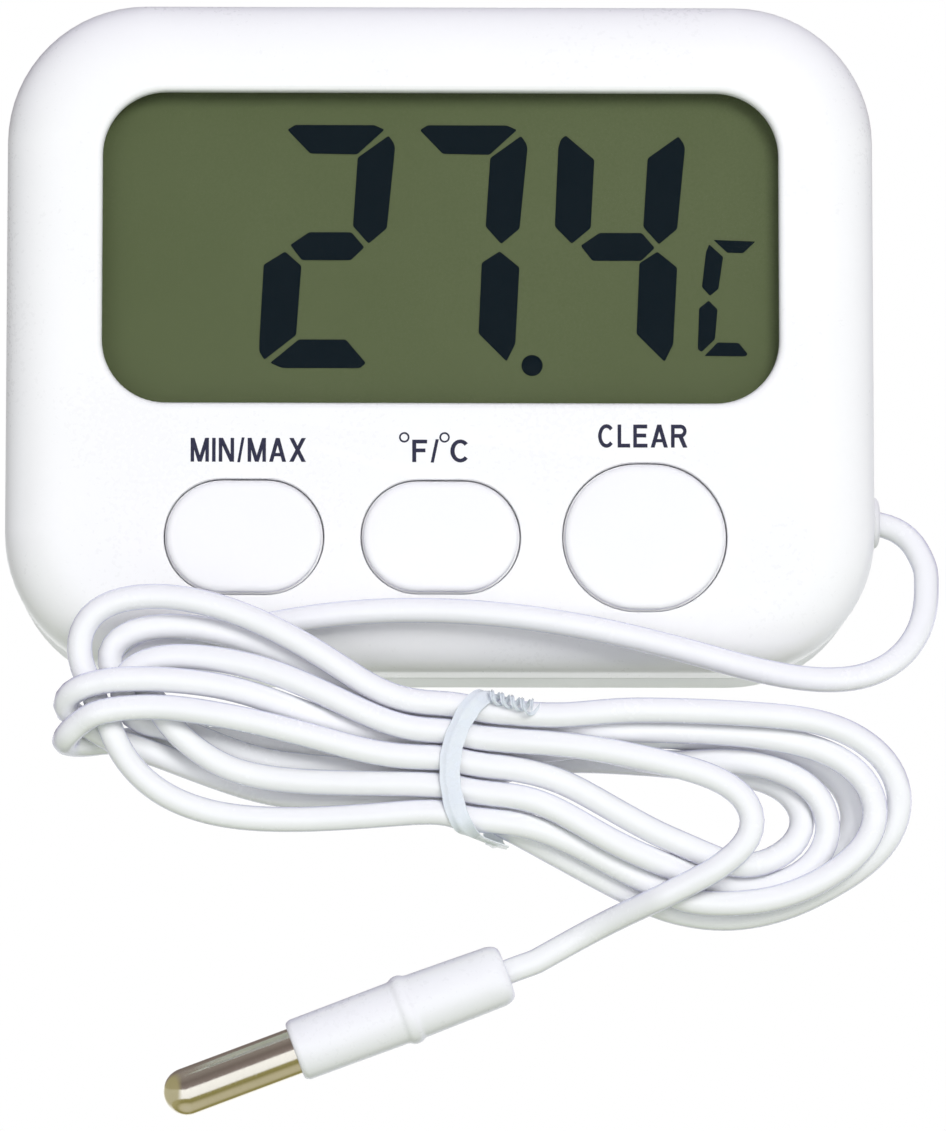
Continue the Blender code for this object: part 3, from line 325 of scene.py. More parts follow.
def tie_film():
    """Translucent film: milky and creased."""
    n = material("tie_film")
    crease = n.noise(scale=1500.0, rough=0.6)
    n.shade(Base_Color=n.mix(crease, (0.93, 0.97, 0.98), (0.78, 0.84, 0.92)),
            Roughness=n.remap(crease, to=(0.15, 0.35), over=(0.3, 0.7)),
            Alpha=0.82, Coat_Weight=0.4, Normal=n.bump(crease, strength=0.5, mm=0.05))


# Each rim colour below is painted shade, mixed in where the surface turns away from view.
surface("case_white", (0.92, 0.92, 0.912), rough=0.30, vary=0.012, grain=2400, grain_mm=0.012,
        grain_strength=0.22, rim=(0.72, 0.73, 0.80), painted_shade_share=0.45, coat=0.12, wear=0.25)
surface("case_rear_white", (0.87, 0.875, 0.89), rough=0.42, vary=0.015, grain=1900,
        grain_mm=0.025, grain_strength=0.5, rim=(0.70, 0.71, 0.78), painted_shade_share=0.4, wear=0.25)
surface("key_white", (0.92, 0.92, 0.918), rough=0.33, vary=0.012, grain_mm=0.012,
        grain_strength=0.25, rim=(0.64, 0.61, 0.88), coat=0.08, wear=0.2)
surface("cable_pvc", (0.91, 0.915, 0.925), rough=0.24, vary=0.015, patch=120, grain=1500,
        grain_strength=0.22, rim=(0.55, 0.54, 0.86), painted_shade_share=0.9, coat=0.35)
surface("sleeve_white", (0.90, 0.90, 0.92), rough=0.30, vary=0.015, grain=2000, grain_mm=0.015,
        grain_strength=0.3, rim=(0.62, 0.62, 0.84), painted_shade_share=0.7, coat=0.2, wear=0.2)
tip_steel()
window_clear()
lcd_glass()
surface("lcd_film", (0.12, 0.15, 0.06), rough=0.45, vary=0.08, grain=4000, grain_mm=0.006)
lcd_olive()
lcd_segment_ink()
label_ink()
surface("zebra_rubber", (0.62, 0.25, 0.33), rough=0.6, vary=0.25, grain=5000,
        stretch=(1, 0.02, 0.02))
board_green()
surface("chip_resin", (0.015, 0.015, 0.016), rough=0.25, vary=0.2, grain=1500, grain_mm=0.03)
surface("tin_plate", (0.70, 0.70, 0.69), rough=0.28, metal=1.0, vary=0.08, grain=1800,
        grain_mm=0.01)
surface("spring_nickel", (0.72, 0.70, 0.66), rough=0.22, metal=1.0, vary=0.08, grain=2400,
        grain_mm=0.008)
surface("capacitor_body", (0.45, 0.30, 0.15), rough=0.5, vary=0.15, grain=3500)
surface("switch_black", (0.03, 0.03, 0.03), rough=0.5, vary=0.2, grain=3000)
cell_jacket()
surface("wire_red", (0.55, 0.025, 0.025), rough=0.38, vary=0.12, grain=2200)
surface("wire_black", (0.025, 0.025, 0.027), rough=0.38, vary=0.2, grain=2200)
surface("screw_zinc", (0.64, 0.64, 0.66), rough=0.30, metal=1.0, vary=0.10, grain=1400,
        grain_mm=0.015, wear=0.4)
surface("grommet_white", (0.82, 0.82, 0.83), rough=0.6, grain=2200, grain_mm=0.03)
tie_film()
surface("bead_resin", (0.05, 0.05, 0.05), rough=0.35, vary=0.2, grain=2500)

# CAD nodes that keep their CAD shape, by material.
CAD_FINISH = {
    "lcd_olive": "lcd_front_polariser",
    "lcd_glass": "lcd_front_glass lcd_rear_glass",
    "lcd_film": "lcd_rear_polariser",
    "zebra_rubber": "zebra_strip",
    "board_green": "circuit_board",
    "chip_resin": "chip_blob",
    "tin_plate": "watch_crystal switch_base_1 switch_base_2 switch_base_3",
    "capacitor_body": "capacitor_1 capacitor_2",
    "switch_black": "switch_plunger_1 switch_plunger_2 switch_plunger_3",
    "spring_nickel": "battery_contact_minus battery_contact_plus",
    "wire_red": "battery_wire_red sensor_wire_1",
    "wire_black": "battery_wire_black sensor_wire_2",
    "screw_zinc": "board_screw_1 board_screw_2",
    "bead_resin": "thermistor",
}
for _finish, _nodes in CAD_FINISH.items():
    for _node in _nodes.split():
        _slots = NODES[_node].material_slots
        if not _slots:
            NODES[_node].data.materials.append(MAT[_finish])
        for _slot in _slots:
            _slot.material = MAT[_finish]


# ============================== mesh helpers =================================
def outline(width, height, radius, steps, cx=0.0, cz=0.0):
    """Points (x, z) round a rounded rectangle."""
    points = []
    for k, (sx, sz) in enumerate([(1, 1), (-1, 1), (-1, -1), (1, -1)]):
        ax, az = cx + sx * (width / 2 - radius), cz + sz * (height / 2 - radius)
        for i in range(steps + 1):
            a = radians(90 * (k + i / steps))
            points.append((ax + radius * cos(a), az + radius * sin(a)))
    return points


def growing(width, height, radius, steps, cx=0.0, cz=0.0):
    """A rounded rectangle as a function of how far it is grown outwards."""
    return lambda grow: outline(width + 2 * grow, height + 2 * grow, radius + grow, steps, cx, cz)


def circle(radius, sides):
    return [(radius * cos(2 * pi * k / sides), radius * sin(2 * pi * k / sides))
            for k in range(sides)]


def quarter(steps):
    """(sin, 1 - cos) in even steps from 0 to 90 degrees, for rounding an edge."""
    return [(sin(pi / 2 * i / steps), 1 - cos(pi / 2 * i / steps)) for i in range(steps + 1)]


def ring_of(points, d):
    return [(x, d, z) for x, z in points]


def loft(rings, closed=False):
    """Quads between rings of equal length, capped at both ends or closed on itself."""
    bm = bmesh.new()
    rows = [[bm.verts.new((x, -d, z)) for x, d, z in ring] for ring in rings]
    count = len(rows[0])
    pairs = list(zip(rows, rows[1:]))
    if closed:
        pairs.append((rows[-1], rows[0]))
    for a, b in pairs:
        for i in range(count):
            j = (i + 1) % count
            bm.faces.new((a[i], a[j], b[j], b[i]))
    if not closed:
        bm.faces.new(rows[0])
        bm.faces.new(rows[-1])
    bmesh.ops.recalc_face_normals(bm, faces=bm.faces)
    return bm


def loft_world(rings, closed=False):
    """Loft of rings given in Blender's axes, as (x, y, z)."""
    bm = loft(rings, closed)
    for vert in bm.verts:
        vert.co.y = -vert.co.y
    bmesh.ops.recalc_face_normals(bm, faces=bm.faces)
    return bm


def loft_stack(shape, stations):
    """Loft of a growing outline through stations (grow, depth)."""
    return loft([ring_of(shape(grow), d) for grow, d in stations])


def prism(points, d0, d1):
    return loft([ring_of(points, d0), ring_of(points, d1)])


def box(x0, x1, d0, d1, z0, z1):
    return prism([(x0, z0), (x1, z0), (x1, z1), (x0, z1)], d0, d1)


def turned_d(x, z, profile, sides):
    """A turned shape along the depth direction: profile is (depth, radius)."""
    return loft([[(x + a, d, z + b) for a, b in circle(r, sides)] for d, r in profile])


def turned_x(x0, d, z, profile, sides, closed=False):
    """A turned shape about a line along X: profile is (x offset, radius)."""
    return loft([[(x0 + s, d + a, z + b) for a, b in circle(r, sides)] for s, r in profile],
                closed)


def pegs(spots, profile, sides):
    return [turned_d(x, z, profile, sides) for x, z in spots]


def frame_at(direction):
    """Two directions square to the given one, in Blender's axes."""
    t = Vector(direction).normalized()
    up = Vector((0, 1, 0)) if abs(t.y) < 0.9 else Vector((1, 0, 0))
    u = t.cross(up).normalized()
    return u, t.cross(u).normalized()


def turned_probe(profile, sides, closed=False):
    """A turned shape on the probe's axis: profile is (distance from its start, radius)."""
    u, v = frame_at(PROBE_AXIS)
    return loft_world([[tuple(PROBE_START + PROBE_AXIS * s + (u * a + v * b))
                        for a, b in circle(r, sides)] for s, r in profile], closed)


def tube_rings(points, radius, sides):
    """Rings of a round tube along a path; one frame is carried along so it does not twist."""
    points = [Vector(p) for p in points]
    rings, side = [], None
    for i, p in enumerate(points):
        t = (points[min(i + 1, len(points) - 1)] - points[max(i - 1, 0)]).normalized()
        if side is None:
            side = frame_at(t)[0]
        side = (side - t * side.dot(t)).normalized()
        other = t.cross(side)
        rings.append([tuple(p + (side * a + other * b)) for a, b in circle(radius, sides)])
    return rings


def merge(*parts):
    """Several shapes as one, without joining them."""
    whole = bmesh.new()
    for bm in parts:
        mesh = bpy.data.meshes.new("part")
        bm.to_mesh(mesh)
        bm.free()
        whole.from_mesh(mesh)
        bpy.data.meshes.remove(mesh)
    return whole


def place(name, bm, finish=None, sharp=30.0, weighted=False):
    """An object from a shape in mm; without a finish it is only a cutting tool."""
    if finish and bm.calc_volume(signed=True) < 0:
        bmesh.ops.reverse_faces(bm, faces=bm.faces)
    for vert in bm.verts:
        vert.co = vert.co * MM
    mesh = bpy.data.meshes.new(name)
    bm.to_mesh(mesh)
    bm.free()
    obj = bpy.data.objects.new(name, mesh)
    bpy.context.scene.collection.objects.link(obj)
    if finish:
        mesh.materials.append(MAT[finish])
        dress(obj, sharp, weighted)
    return obj


def dress(obj, sharp=30.0, weighted=False):
    """Smooth shading with sharp edges; weighted also keeps large flat faces truly flat."""
    mesh = obj.data
    if weighted:
        bm = bmesh.new()
        bm.from_mesh(mesh)
        bmesh.ops.remove_doubles(bm, verts=bm.verts, dist=2e-6)
        bmesh.ops.dissolve_degenerate(bm, edges=bm.edges, dist=1e-6)
        bm.to_mesh(mesh)
        bm.free()
    mesh.shade_smooth()
    mesh.set_sharp_from_angle(angle=radians(sharp))
    if not weighted:
        return
    large_area = 3e-6               # square metres
    same_way = cos(radians(14))
    flat = {}                       # vertex -> (area, normal) of its largest large face
    for face in mesh.polygons:
        if face.area > large_area:
            for v in face.vertices:
                if face.area > flat.get(v, (0.0, None))[0]:
                    flat[v] = (face.area, face.normal.copy())
    normals = [Vector(c.vector) for c in mesh.corner_normals]
    for face in mesh.polygons:
        for loop in face.loop_indices:
            known = flat.get(mesh.loops[loop].vertex_index)
            if known and face.normal.dot(known[1]) > same_way:
                normals[loop] = known[1]
    mesh.normals_split_custom_set(normals)


def combine(obj, tool_bm, operation):
    tool = place("tool", tool_bm)
    step = obj.modifiers.new("combine", "BOOLEAN")
    step.object = tool
    step.operation = operation
    step.solver = "EXACT"
    bpy.context.view_layer.update()
    graph = bpy.context.evaluated_depsgraph_get()
    mesh = bpy.data.meshes.new_from_object(obj.evaluated_get(graph))
    obj.modifiers.clear()
    old, obj.data = obj.data, mesh
    bpy.data.meshes.remove(old)
    shape = tool.data
    bpy.data.objects.remove(tool)
    bpy.data.meshes.remove(shape)
    mesh.name = obj.name


def cut(obj, *tools):
    for bm in tools:
        combine(obj, bm, "DIFFERENCE")


def add(obj, *tools):
    for bm in tools:
        combine(obj, bm, "UNION")


def give(obj, body, node):
    """Put a finished piece on its body, in place of its CAD node if it has one."""
    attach(obj, body)
    if node:
        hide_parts(node)


def fit(name, bm, finish, node=None, sharp=30.0, weighted=False, body="case"):
    """Make a piece that needs no cutting and give it to its body."""
    give(place(name, bm, finish, sharp, weighted), body, node)


# ================================ case ======================================
win_outline = growing(WIN_W, WIN_H, WIN_R, 16, 0, WIN_Z)


def key_outline(node):
    x0, x1, _, _, z0, z1 = span(node)
    width, height = x1 - x0 - 2 * KEY_FLANGE, z1 - z0 - 2 * KEY_FLANGE
    return growing(width, height, min(width, height) / 2 - 0.02, 14,
                   (x0 + x1) / 2, (z0 + z1) / 2)


KEYS = {node: key_outline(node) for node in ("minmax_key", "unit_key", "reset_key")}


def front_inset(d):
    """How far the rounded front edge has come in at a depth."""
    t = max(0.0, d - (CASE_D - FRONT_BACK)) / FRONT_BACK
    return FRONT_IN * (1 - sqrt(max(0.0, 1 - t * t)))


def case_ring(d, inset):
    return ring_of(outline(CASE_W - 2 * inset, CASE_H - 2 * inset, CORNER_R - inset, 16), d)


def opening(shape, radius, steps):
    """A cutter for a hole through the front whose front edge is rounded over."""
    stations = [(0, 17.0)]
    stations += [(radius * inset, CASE_D - radius + radius * rise)
                 for rise, inset in quarter(steps)[:-1]]
    return loft_stack(shape, stations + [(radius, CASE_D), (radius + 0.02, CASE_D + 0.3)])


def cable_hole():
    return turned_x(0, EXIT_D, EXIT_Z, [(31.0, 2.2), (37.0, 2.2)], 32)


def build_front_shell():
    rim = PART_D + SEAM / 2
    rings = [case_ring(d, front_inset(d) + WALL)
             for d in (CASE_D - FRONT_WALL, 17.1, 16.6, 16.0, 15.4)]
    rings += [case_ring(rim, WALL), case_ring(rim, 0.18)]
    rings += [case_ring(rim + 0.05, 0.05), case_ring(rim + 0.18, 0.0)]
    rings += [case_ring(CASE_D - FRONT_BACK + FRONT_BACK * rise, FRONT_IN * inset)
              for rise, inset in quarter(14)]
    shell = place("front_case", loft(rings), "case_white")
    # screw bosses and board posts, then their holes
    add(shell, merge(*pegs(CORNER_SCREWS, [(10.3, 2.2), (17.85, 2.2)], 24),
                     *pegs(BOARD_POSTS, [(14.7, 2.0), (17.85, 2.0)], 24)))
    cut(shell, merge(*pegs(CORNER_SCREWS, [(10.0, 1.2), (15.4, 1.2)], 20),
                     *pegs(BOARD_POSTS, [(14.4, 1.0), (17.4, 1.0)], 20)))
    cut(shell, merge(opening(win_outline, WIN_ROUND, 5),
                     *[opening(shape, KEY_ROUND, 3) for shape in KEYS.values()]))
    # recess behind the opening, which holds the window
    cut(shell, prism(win_outline(1.1), 17.2, CASE_D - 0.85))
    cut(shell, cable_hole())
    dress(shell, weighted=True)
    give(shell, "case", "front_shell")


def build_rear_shell():
    rim = PART_D - SEAM / 2
    rings = [case_ring(WALL, WALL + 0.8), case_ring(WALL + 0.25, WALL + 0.25),
             case_ring(WALL + 0.8, WALL), case_ring(rim, WALL), case_ring(rim, 0.18),
             case_ring(rim - 0.05, 0.05), case_ring(rim - 0.18, 0.0)]
    rings += [case_ring(REAR_R * (1 - rise), REAR_R * inset) for rise, inset in quarter(8)]
    shell = place("rear_case", loft(rings), "case_rear_white")
    # screw bosses, then the blocks round the battery well and the stand bay
    add(shell, merge(*pegs(CORNER_SCREWS, [(1.2, 3.2), (9.9, 3.2)], 28)))
    add(shell, box(-26.2, 26.2, 1.2, 13.1, 3.9, 18.1), box(-11.8, 11.8, 1.2, 4.8, -24.6, -1.2))
    # screw head wells and shank holes
    cut(shell, merge(*pegs(CORNER_SCREWS, [(-1.0, 2.55), (0.0, 2.30), (0.2, 2.1), (5.2, 2.1)],
                           32)))
    cut(shell, merge(*pegs(CORNER_SCREWS, [(4.0, 1.2), (10.5, 1.2)], 20)))
    # battery well, door hook pockets, notch for the door's tab, holes at the cell's ends
    eased = [(0.3, -1.0), (0.15, 0.0), (0.0, 0.15)]
    cut(shell, loft_stack(growing(WELL_W, WELL_H, 0.5, 4, 0, CELL_Z), eased + [(0.0, 12.35)]))
    cut(shell, merge(*[box(s * HOOK_X - 2.4, s * HOOK_X + 2.4, 1.75, 3.9, 3.4, 5.6)
                       for s in (1, -1)]))
    cut(shell, box(-4.4, 4.4, -0.5, 2.6, 16.5, 18.45))
    cut(shell, merge(*[turned_x(0, CELL_D, CELL_Z, [(s * 24.0, 0.85), (s * 27.5, 0.85)], 16)
                       for s in (1, -1)]))
    # stand bay, its pin holes and the finger dip at the bay's lower edge
    cut(shell, loft_stack(growing(20.0, 20.7, 1.4, 5, 0, -12.85), eased + [(0.0, 3.4)]))
    cut(shell, turned_x(0, STAND_D, STAND_Z, [(-11.25, 1.05), (11.25, 1.05)], 28))
    cut(shell, prism(outline(9.0, 4.0, 1.9, 10, 0, -23.2), -1.0, 1.2))
    cut(shell, cable_hole())
    dress(shell, weighted=True)
    give(shell, "case", "rear_shell")


def build_keys():
    side = -KEY_GAP + 0.02
    # (grow, depth): flange behind the front wall, shaft, cap
    stations = [(KEY_FLANGE, 16.45), (KEY_FLANGE, 17.35), (-0.11, 17.35),
                (-0.07, CASE_D - 0.55), (-0.10, CASE_D - 0.46), (side, CASE_D - 0.42),
                (-KEY_GAP + 0.01, KEY_TOP - 0.5)]
    stations += [(side - 0.55 * inset, KEY_TOP - 0.5 + 0.42 * rise)
                 for rise, inset in quarter(7)[1:]]
    # a very slight crown across the top
    stations += [(-KEY_GAP - inset, KEY_TOP - 0.08 + rise)
                 for inset, rise in ((1.4, 0.035), (2.4, 0.06), (3.4, 0.075))]
    for node, shape in KEYS.items():
        fit("key_" + node.removesuffix("_key"), loft_stack(shape, stations), "key_white", node,
            sharp=40, weighted=True, body=node)


# ============================== display =====================================
# Segment outlines of one figure, as (x, z) in mm from the figure's left and low lines.
SEGMENTS = {
    "a": [(0.00, 17.27), (0.62, 17.66), (7.01, 17.66), (7.83, 17.30), (5.62, 15.30),
          (1.85, 15.36)],
    "b": [(8.16, 16.81), (8.57, 16.24), (8.68, 15.83), (8.03, 9.36), (6.56, 8.13),
          (5.30, 9.52), (5.67, 15.04)],
    "g": [(1.77, 9.03), (5.18, 9.03), (6.22, 7.83), (5.12, 6.79), (1.20, 6.79), (0.25, 8.00)],
    "e": [(-0.16, 7.47), (1.15, 6.33), (0.75, 0.79), (-1.80, -1.20), (-2.21, -0.55),
          (-2.21, 0.26), (-1.88, 6.41)],
    "d": [(0.96, 0.43), (4.75, 0.43), (6.36, -1.45), (5.87, -1.86), (-0.35, -1.86),
          (-1.34, -1.45)],
    "f": [(-0.94, 16.87), (1.36, 14.92), (1.06, 9.42), (-0.48, 8.16), (-1.83, 9.54),
          (-1.55, 15.87), (-1.33, 16.56)],
    "c": [(6.43, 7.53), (8.02, 6.25), (7.68, 0.11), (6.98, -1.29), (4.73, 0.94), (4.98, 6.60)],
}
# The small unit letter C, in the same form.
SMALL_C = [
    [(0.00, 9.13), (3.38, 9.01), (2.38, 8.09), (1.12, 8.12)],
    [(-0.35, 8.78), (0.77, 7.78), (0.38, 5.25), (-0.30, 4.71), (-0.95, 5.40), (-0.61, 8.17)],
    [(-0.41, 4.32), (0.30, 3.63), (0.08, 1.26), (-1.00, 0.26), (-1.30, 0.49), (-1.18, 3.71)],
    [(0.30, 1.02), (2.00, 0.98), (2.72, 0.10), (2.54, -0.08), (-0.77, -0.05)],
]
FIGURES = ((0.0, "abged"), (10.69, "abc"), (23.40, "fbgc"))    # (offset in x, lit segments)
FIGURES_X, FIGURES_Z = -12.36, -0.82
INK_D0, INK_D1 = FILM_D + 0.004, FILM_D + 0.05


def soften(points, radius, steps=3):
    """Round the corners of a polygon a little."""
    out, count = [], len(points)
    for i in range(count):
        p, before, after = (Vector(points[k]) for k in (i, i - 1, (i + 1) % count))
        ra = min(radius, (before - p).length * 0.45)
        rb = min(radius, (after - p).length * 0.45)
        start = p + (before - p).normalized() * ra
        end = p + (after - p).normalized() * rb
        for k in range(steps + 1):
            t = k / steps
            out.append(tuple((1 - t) ** 2 * start + 2 * t * (1 - t) * p + t * t * end))
    return out


def segment(points, x, z, stretch, radius):
    """A raised display segment at (x, z), its height stretched a little."""
    moved = [(x + px, z + pz * stretch) for px, pz in points]
    return prism(soften(moved, radius), INK_D0, INK_D1)


def build_window():
    back, front, back_edge, front_edge = 17.45, 18.35, 0.06, 0.12
    stations = [(WIN_LAP - back_edge * (1 - rise), back + back_edge * inset)
                for rise, inset in quarter(4)]
    stations += [(WIN_LAP - front_edge * inset, front - front_edge + front_edge * rise)
                 for rise, inset in quarter(4)]
    fit("window_lens", loft_stack(win_outline, stations), "window_clear", "display_window",
        weighted=True)


def build_figures():
    plates = [segment(SEGMENTS[name], FIGURES_X + offset, FIGURES_Z, 1.014, 0.16)
              for offset, lit in FIGURES for name in lit]
    # decimal point
    plates.append(turned_d(FIGURES_X + 19.72, FIGURES_Z - 1.64,
                           [(INK_D0, 0.85), (FILM_D + 0.036, 0.85), (INK_D1, 0.83)], 40))
    plates += [segment(points, FIGURES_X + 34.36, FIGURES_Z - 0.78, 1.028, 0.10)
               for points in SMALL_C]
    fit("lcd_figures", merge(*plates), "lcd_segment_ink", sharp=50)


# =============================== labels ======================================
STROKE = 0.165                      # stroke width of a capital one unit high
LABEL_D0, LABEL_D1 = 0.003, 0.022   # in front of the case face


def bar(x0, y0, x1, y1):
    return [(x0, y0), (x1, y0), (x1, y1), (x0, y1)]


def slant(x0, x1, width, y0=0.0, y1=1.0):
    """A leaning stroke with level ends."""
    return [(x0, y0), (x0 + width, y0), (x1 + width, y1), (x1, y1)]


def bow(cx, cy, rx, ry, a0, a1, steps=18):
    """A curved stroke from angle a0 to a1, in degrees, with the given outer radii."""
    turn = [radians(a0 + (a1 - a0) * k / steps) for k in range(steps + 1)]
    return ([(cx + rx * cos(a), cy + ry * sin(a)) for a in turn]
            + [(cx + (rx - STROKE) * cos(a), cy + (ry - STROKE) * sin(a)) for a in turn[::-1]])


def make_glyphs():
    """letter: (width, strokes) of plain capitals, one unit high."""
    s = STROKE
    stem = bar(0, 0, s, 1)
    top, middle = 1 - s, 0.44
    return {
        "M": (0.86, [stem, bar(0.86 - s, 0, 0.86, 1), slant(0.43 - s * 0.55, 0, s * 1.1),
                     slant(0.43 - s * 0.55, 0.86 - s * 1.1, s * 1.1)]),
        "I": (s, [stem]),
        "N": (0.72, [stem, bar(0.72 - s, 0, 0.72, 1), slant(0.72 - s * 1.2, 0, s * 1.2)]),
        "A": (0.80, [slant(0, 0.40 - s * 0.56, s * 1.12),
                     slant(0.80 - s * 1.12, 0.40 - s * 0.56, s * 1.12),
                     bar(0.16, 0.23, 0.64, 0.23 + s * 0.85)]),
        "X": (0.78, [slant(0, 0.78 - s * 1.22, s * 1.22), slant(0.78 - s * 1.22, 0, s * 1.22)]),
        "/": (0.34, [slant(0, 0.34 - s * 0.8, s * 0.8, -0.02, 1.02)]),
        "F": (0.62, [stem, bar(0, top, 0.62, 1), bar(0, middle, 0.55, middle + s)]),
        "E": (0.66, [stem, bar(0, top, 0.65, 1), bar(0, middle, 0.60, middle + s),
                     bar(0, 0, 0.66, s)]),
        "L": (0.58, [stem, bar(0, 0, 0.58, s)]),
        "C": (0.76, [bow(0.39, 0.5, 0.39, 0.515, 42, 318)]),
        "R": (0.76, [stem, bar(0, top, 0.45, 1), bar(0, 0.43, 0.45, 0.43 + s),
                     bow(0.44, 0.715, 0.285, 0.285, -90, 90),
                     slant(0.76 - s * 1.25, 0.33, s * 1.25, 0, 0.5)]),
    }


GLYPHS = make_glyphs()


def text_mesh(body, width, height, cx, cz):
    """Capitals fitted to a width and height. Overlapping strokes become one face set."""
    points, shapes, at = [], [], 0.0
    for letter in body:
        wide, strokes = GLYPHS[letter]
        for stroke in strokes:
            shapes.append(list(range(len(points), len(points) + len(stroke))))
            points += [Vector((at + x, y)) for x, y in stroke]
        at += wide + 0.15
    spots, _, faces, _, _, origin = delaunay_2d_cdt(points, [], shapes, 0, 1e-5)
    bm = bmesh.new()
    verts = [bm.verts.new((p.x, p.y, 0)) for p in spots]
    for face, made_of in zip(faces, origin):
        if made_of:
            bm.faces.new([verts[k] for k in face])
    for vert in [v for v in bm.verts if not v.link_faces]:
        bm.verts.remove(vert)
    xs = [v.co.x for v in bm.verts]
    scale, middle = width / (max(xs) - min(xs)), (max(xs) + min(xs)) / 2
    made = bmesh.ops.extrude_face_region(bm, geom=bm.faces[:])
    front = {v for v in made["geom"] if isinstance(v, bmesh.types.BMVert)}
    for v in bm.verts:
        v.co = Vector((cx + (v.co.x - middle) * scale,
                       -(CASE_D + (LABEL_D1 if v in front else LABEL_D0)),
                       cz + (v.co.y - 0.5) * height))
    bmesh.ops.recalc_face_normals(bm, faces=bm.faces)
    return bm


def degree_mark(cx, cz, radius=0.42, line=0.14):
    """The small raised ring of a degree sign."""
    return loft([[(cx + a, CASE_D + d, cz + b) for a, b in circle(r, 28)]
                 for r, d in ((radius, LABEL_D0), (radius, LABEL_D1),
                              (radius - line, LABEL_D1), (radius - line, LABEL_D0))],
                closed=True)


def build_labels():
    unit = (text_mesh("F/", 2.12, 1.80, -1.22, -9.69), text_mesh("C", 1.40, 1.80, 1.46, -9.69),
            degree_mark(-2.92, -8.60), degree_mark(0.30, -8.60))
    for name, bm in (("label_minmax", text_mesh("MIN/MAX", 9.2, 1.92, -15.38, -9.63)),
                     ("label_unit", merge(*unit)),
                     ("label_clear", text_mesh("CLEAR", 7.14, 1.85, 16.15, -8.46))):
        fit(name, bm, "label_ink", sharp=40)


# ============================ cable routing ==================================
# The cable is wound by hand into a long hank and tied in the middle. Each turn
# goes through the tie twice. A slot is a place in the tie: (across, layer).
SLOTS = {
    "F1": (4.3, 1), "F2": (2.15, 1), "F3": (0.0, 1), "F4": (-2.15, 1), "F5": (-4.3, 1),
    "M1": (3.23, 0), "M2": (1.08, 0), "M3": (-1.08, 0), "M4": (-3.23, 0),
    "B1": (2.15, -1), "B2": (-2.15, -1),
}
LAYER = 1.95

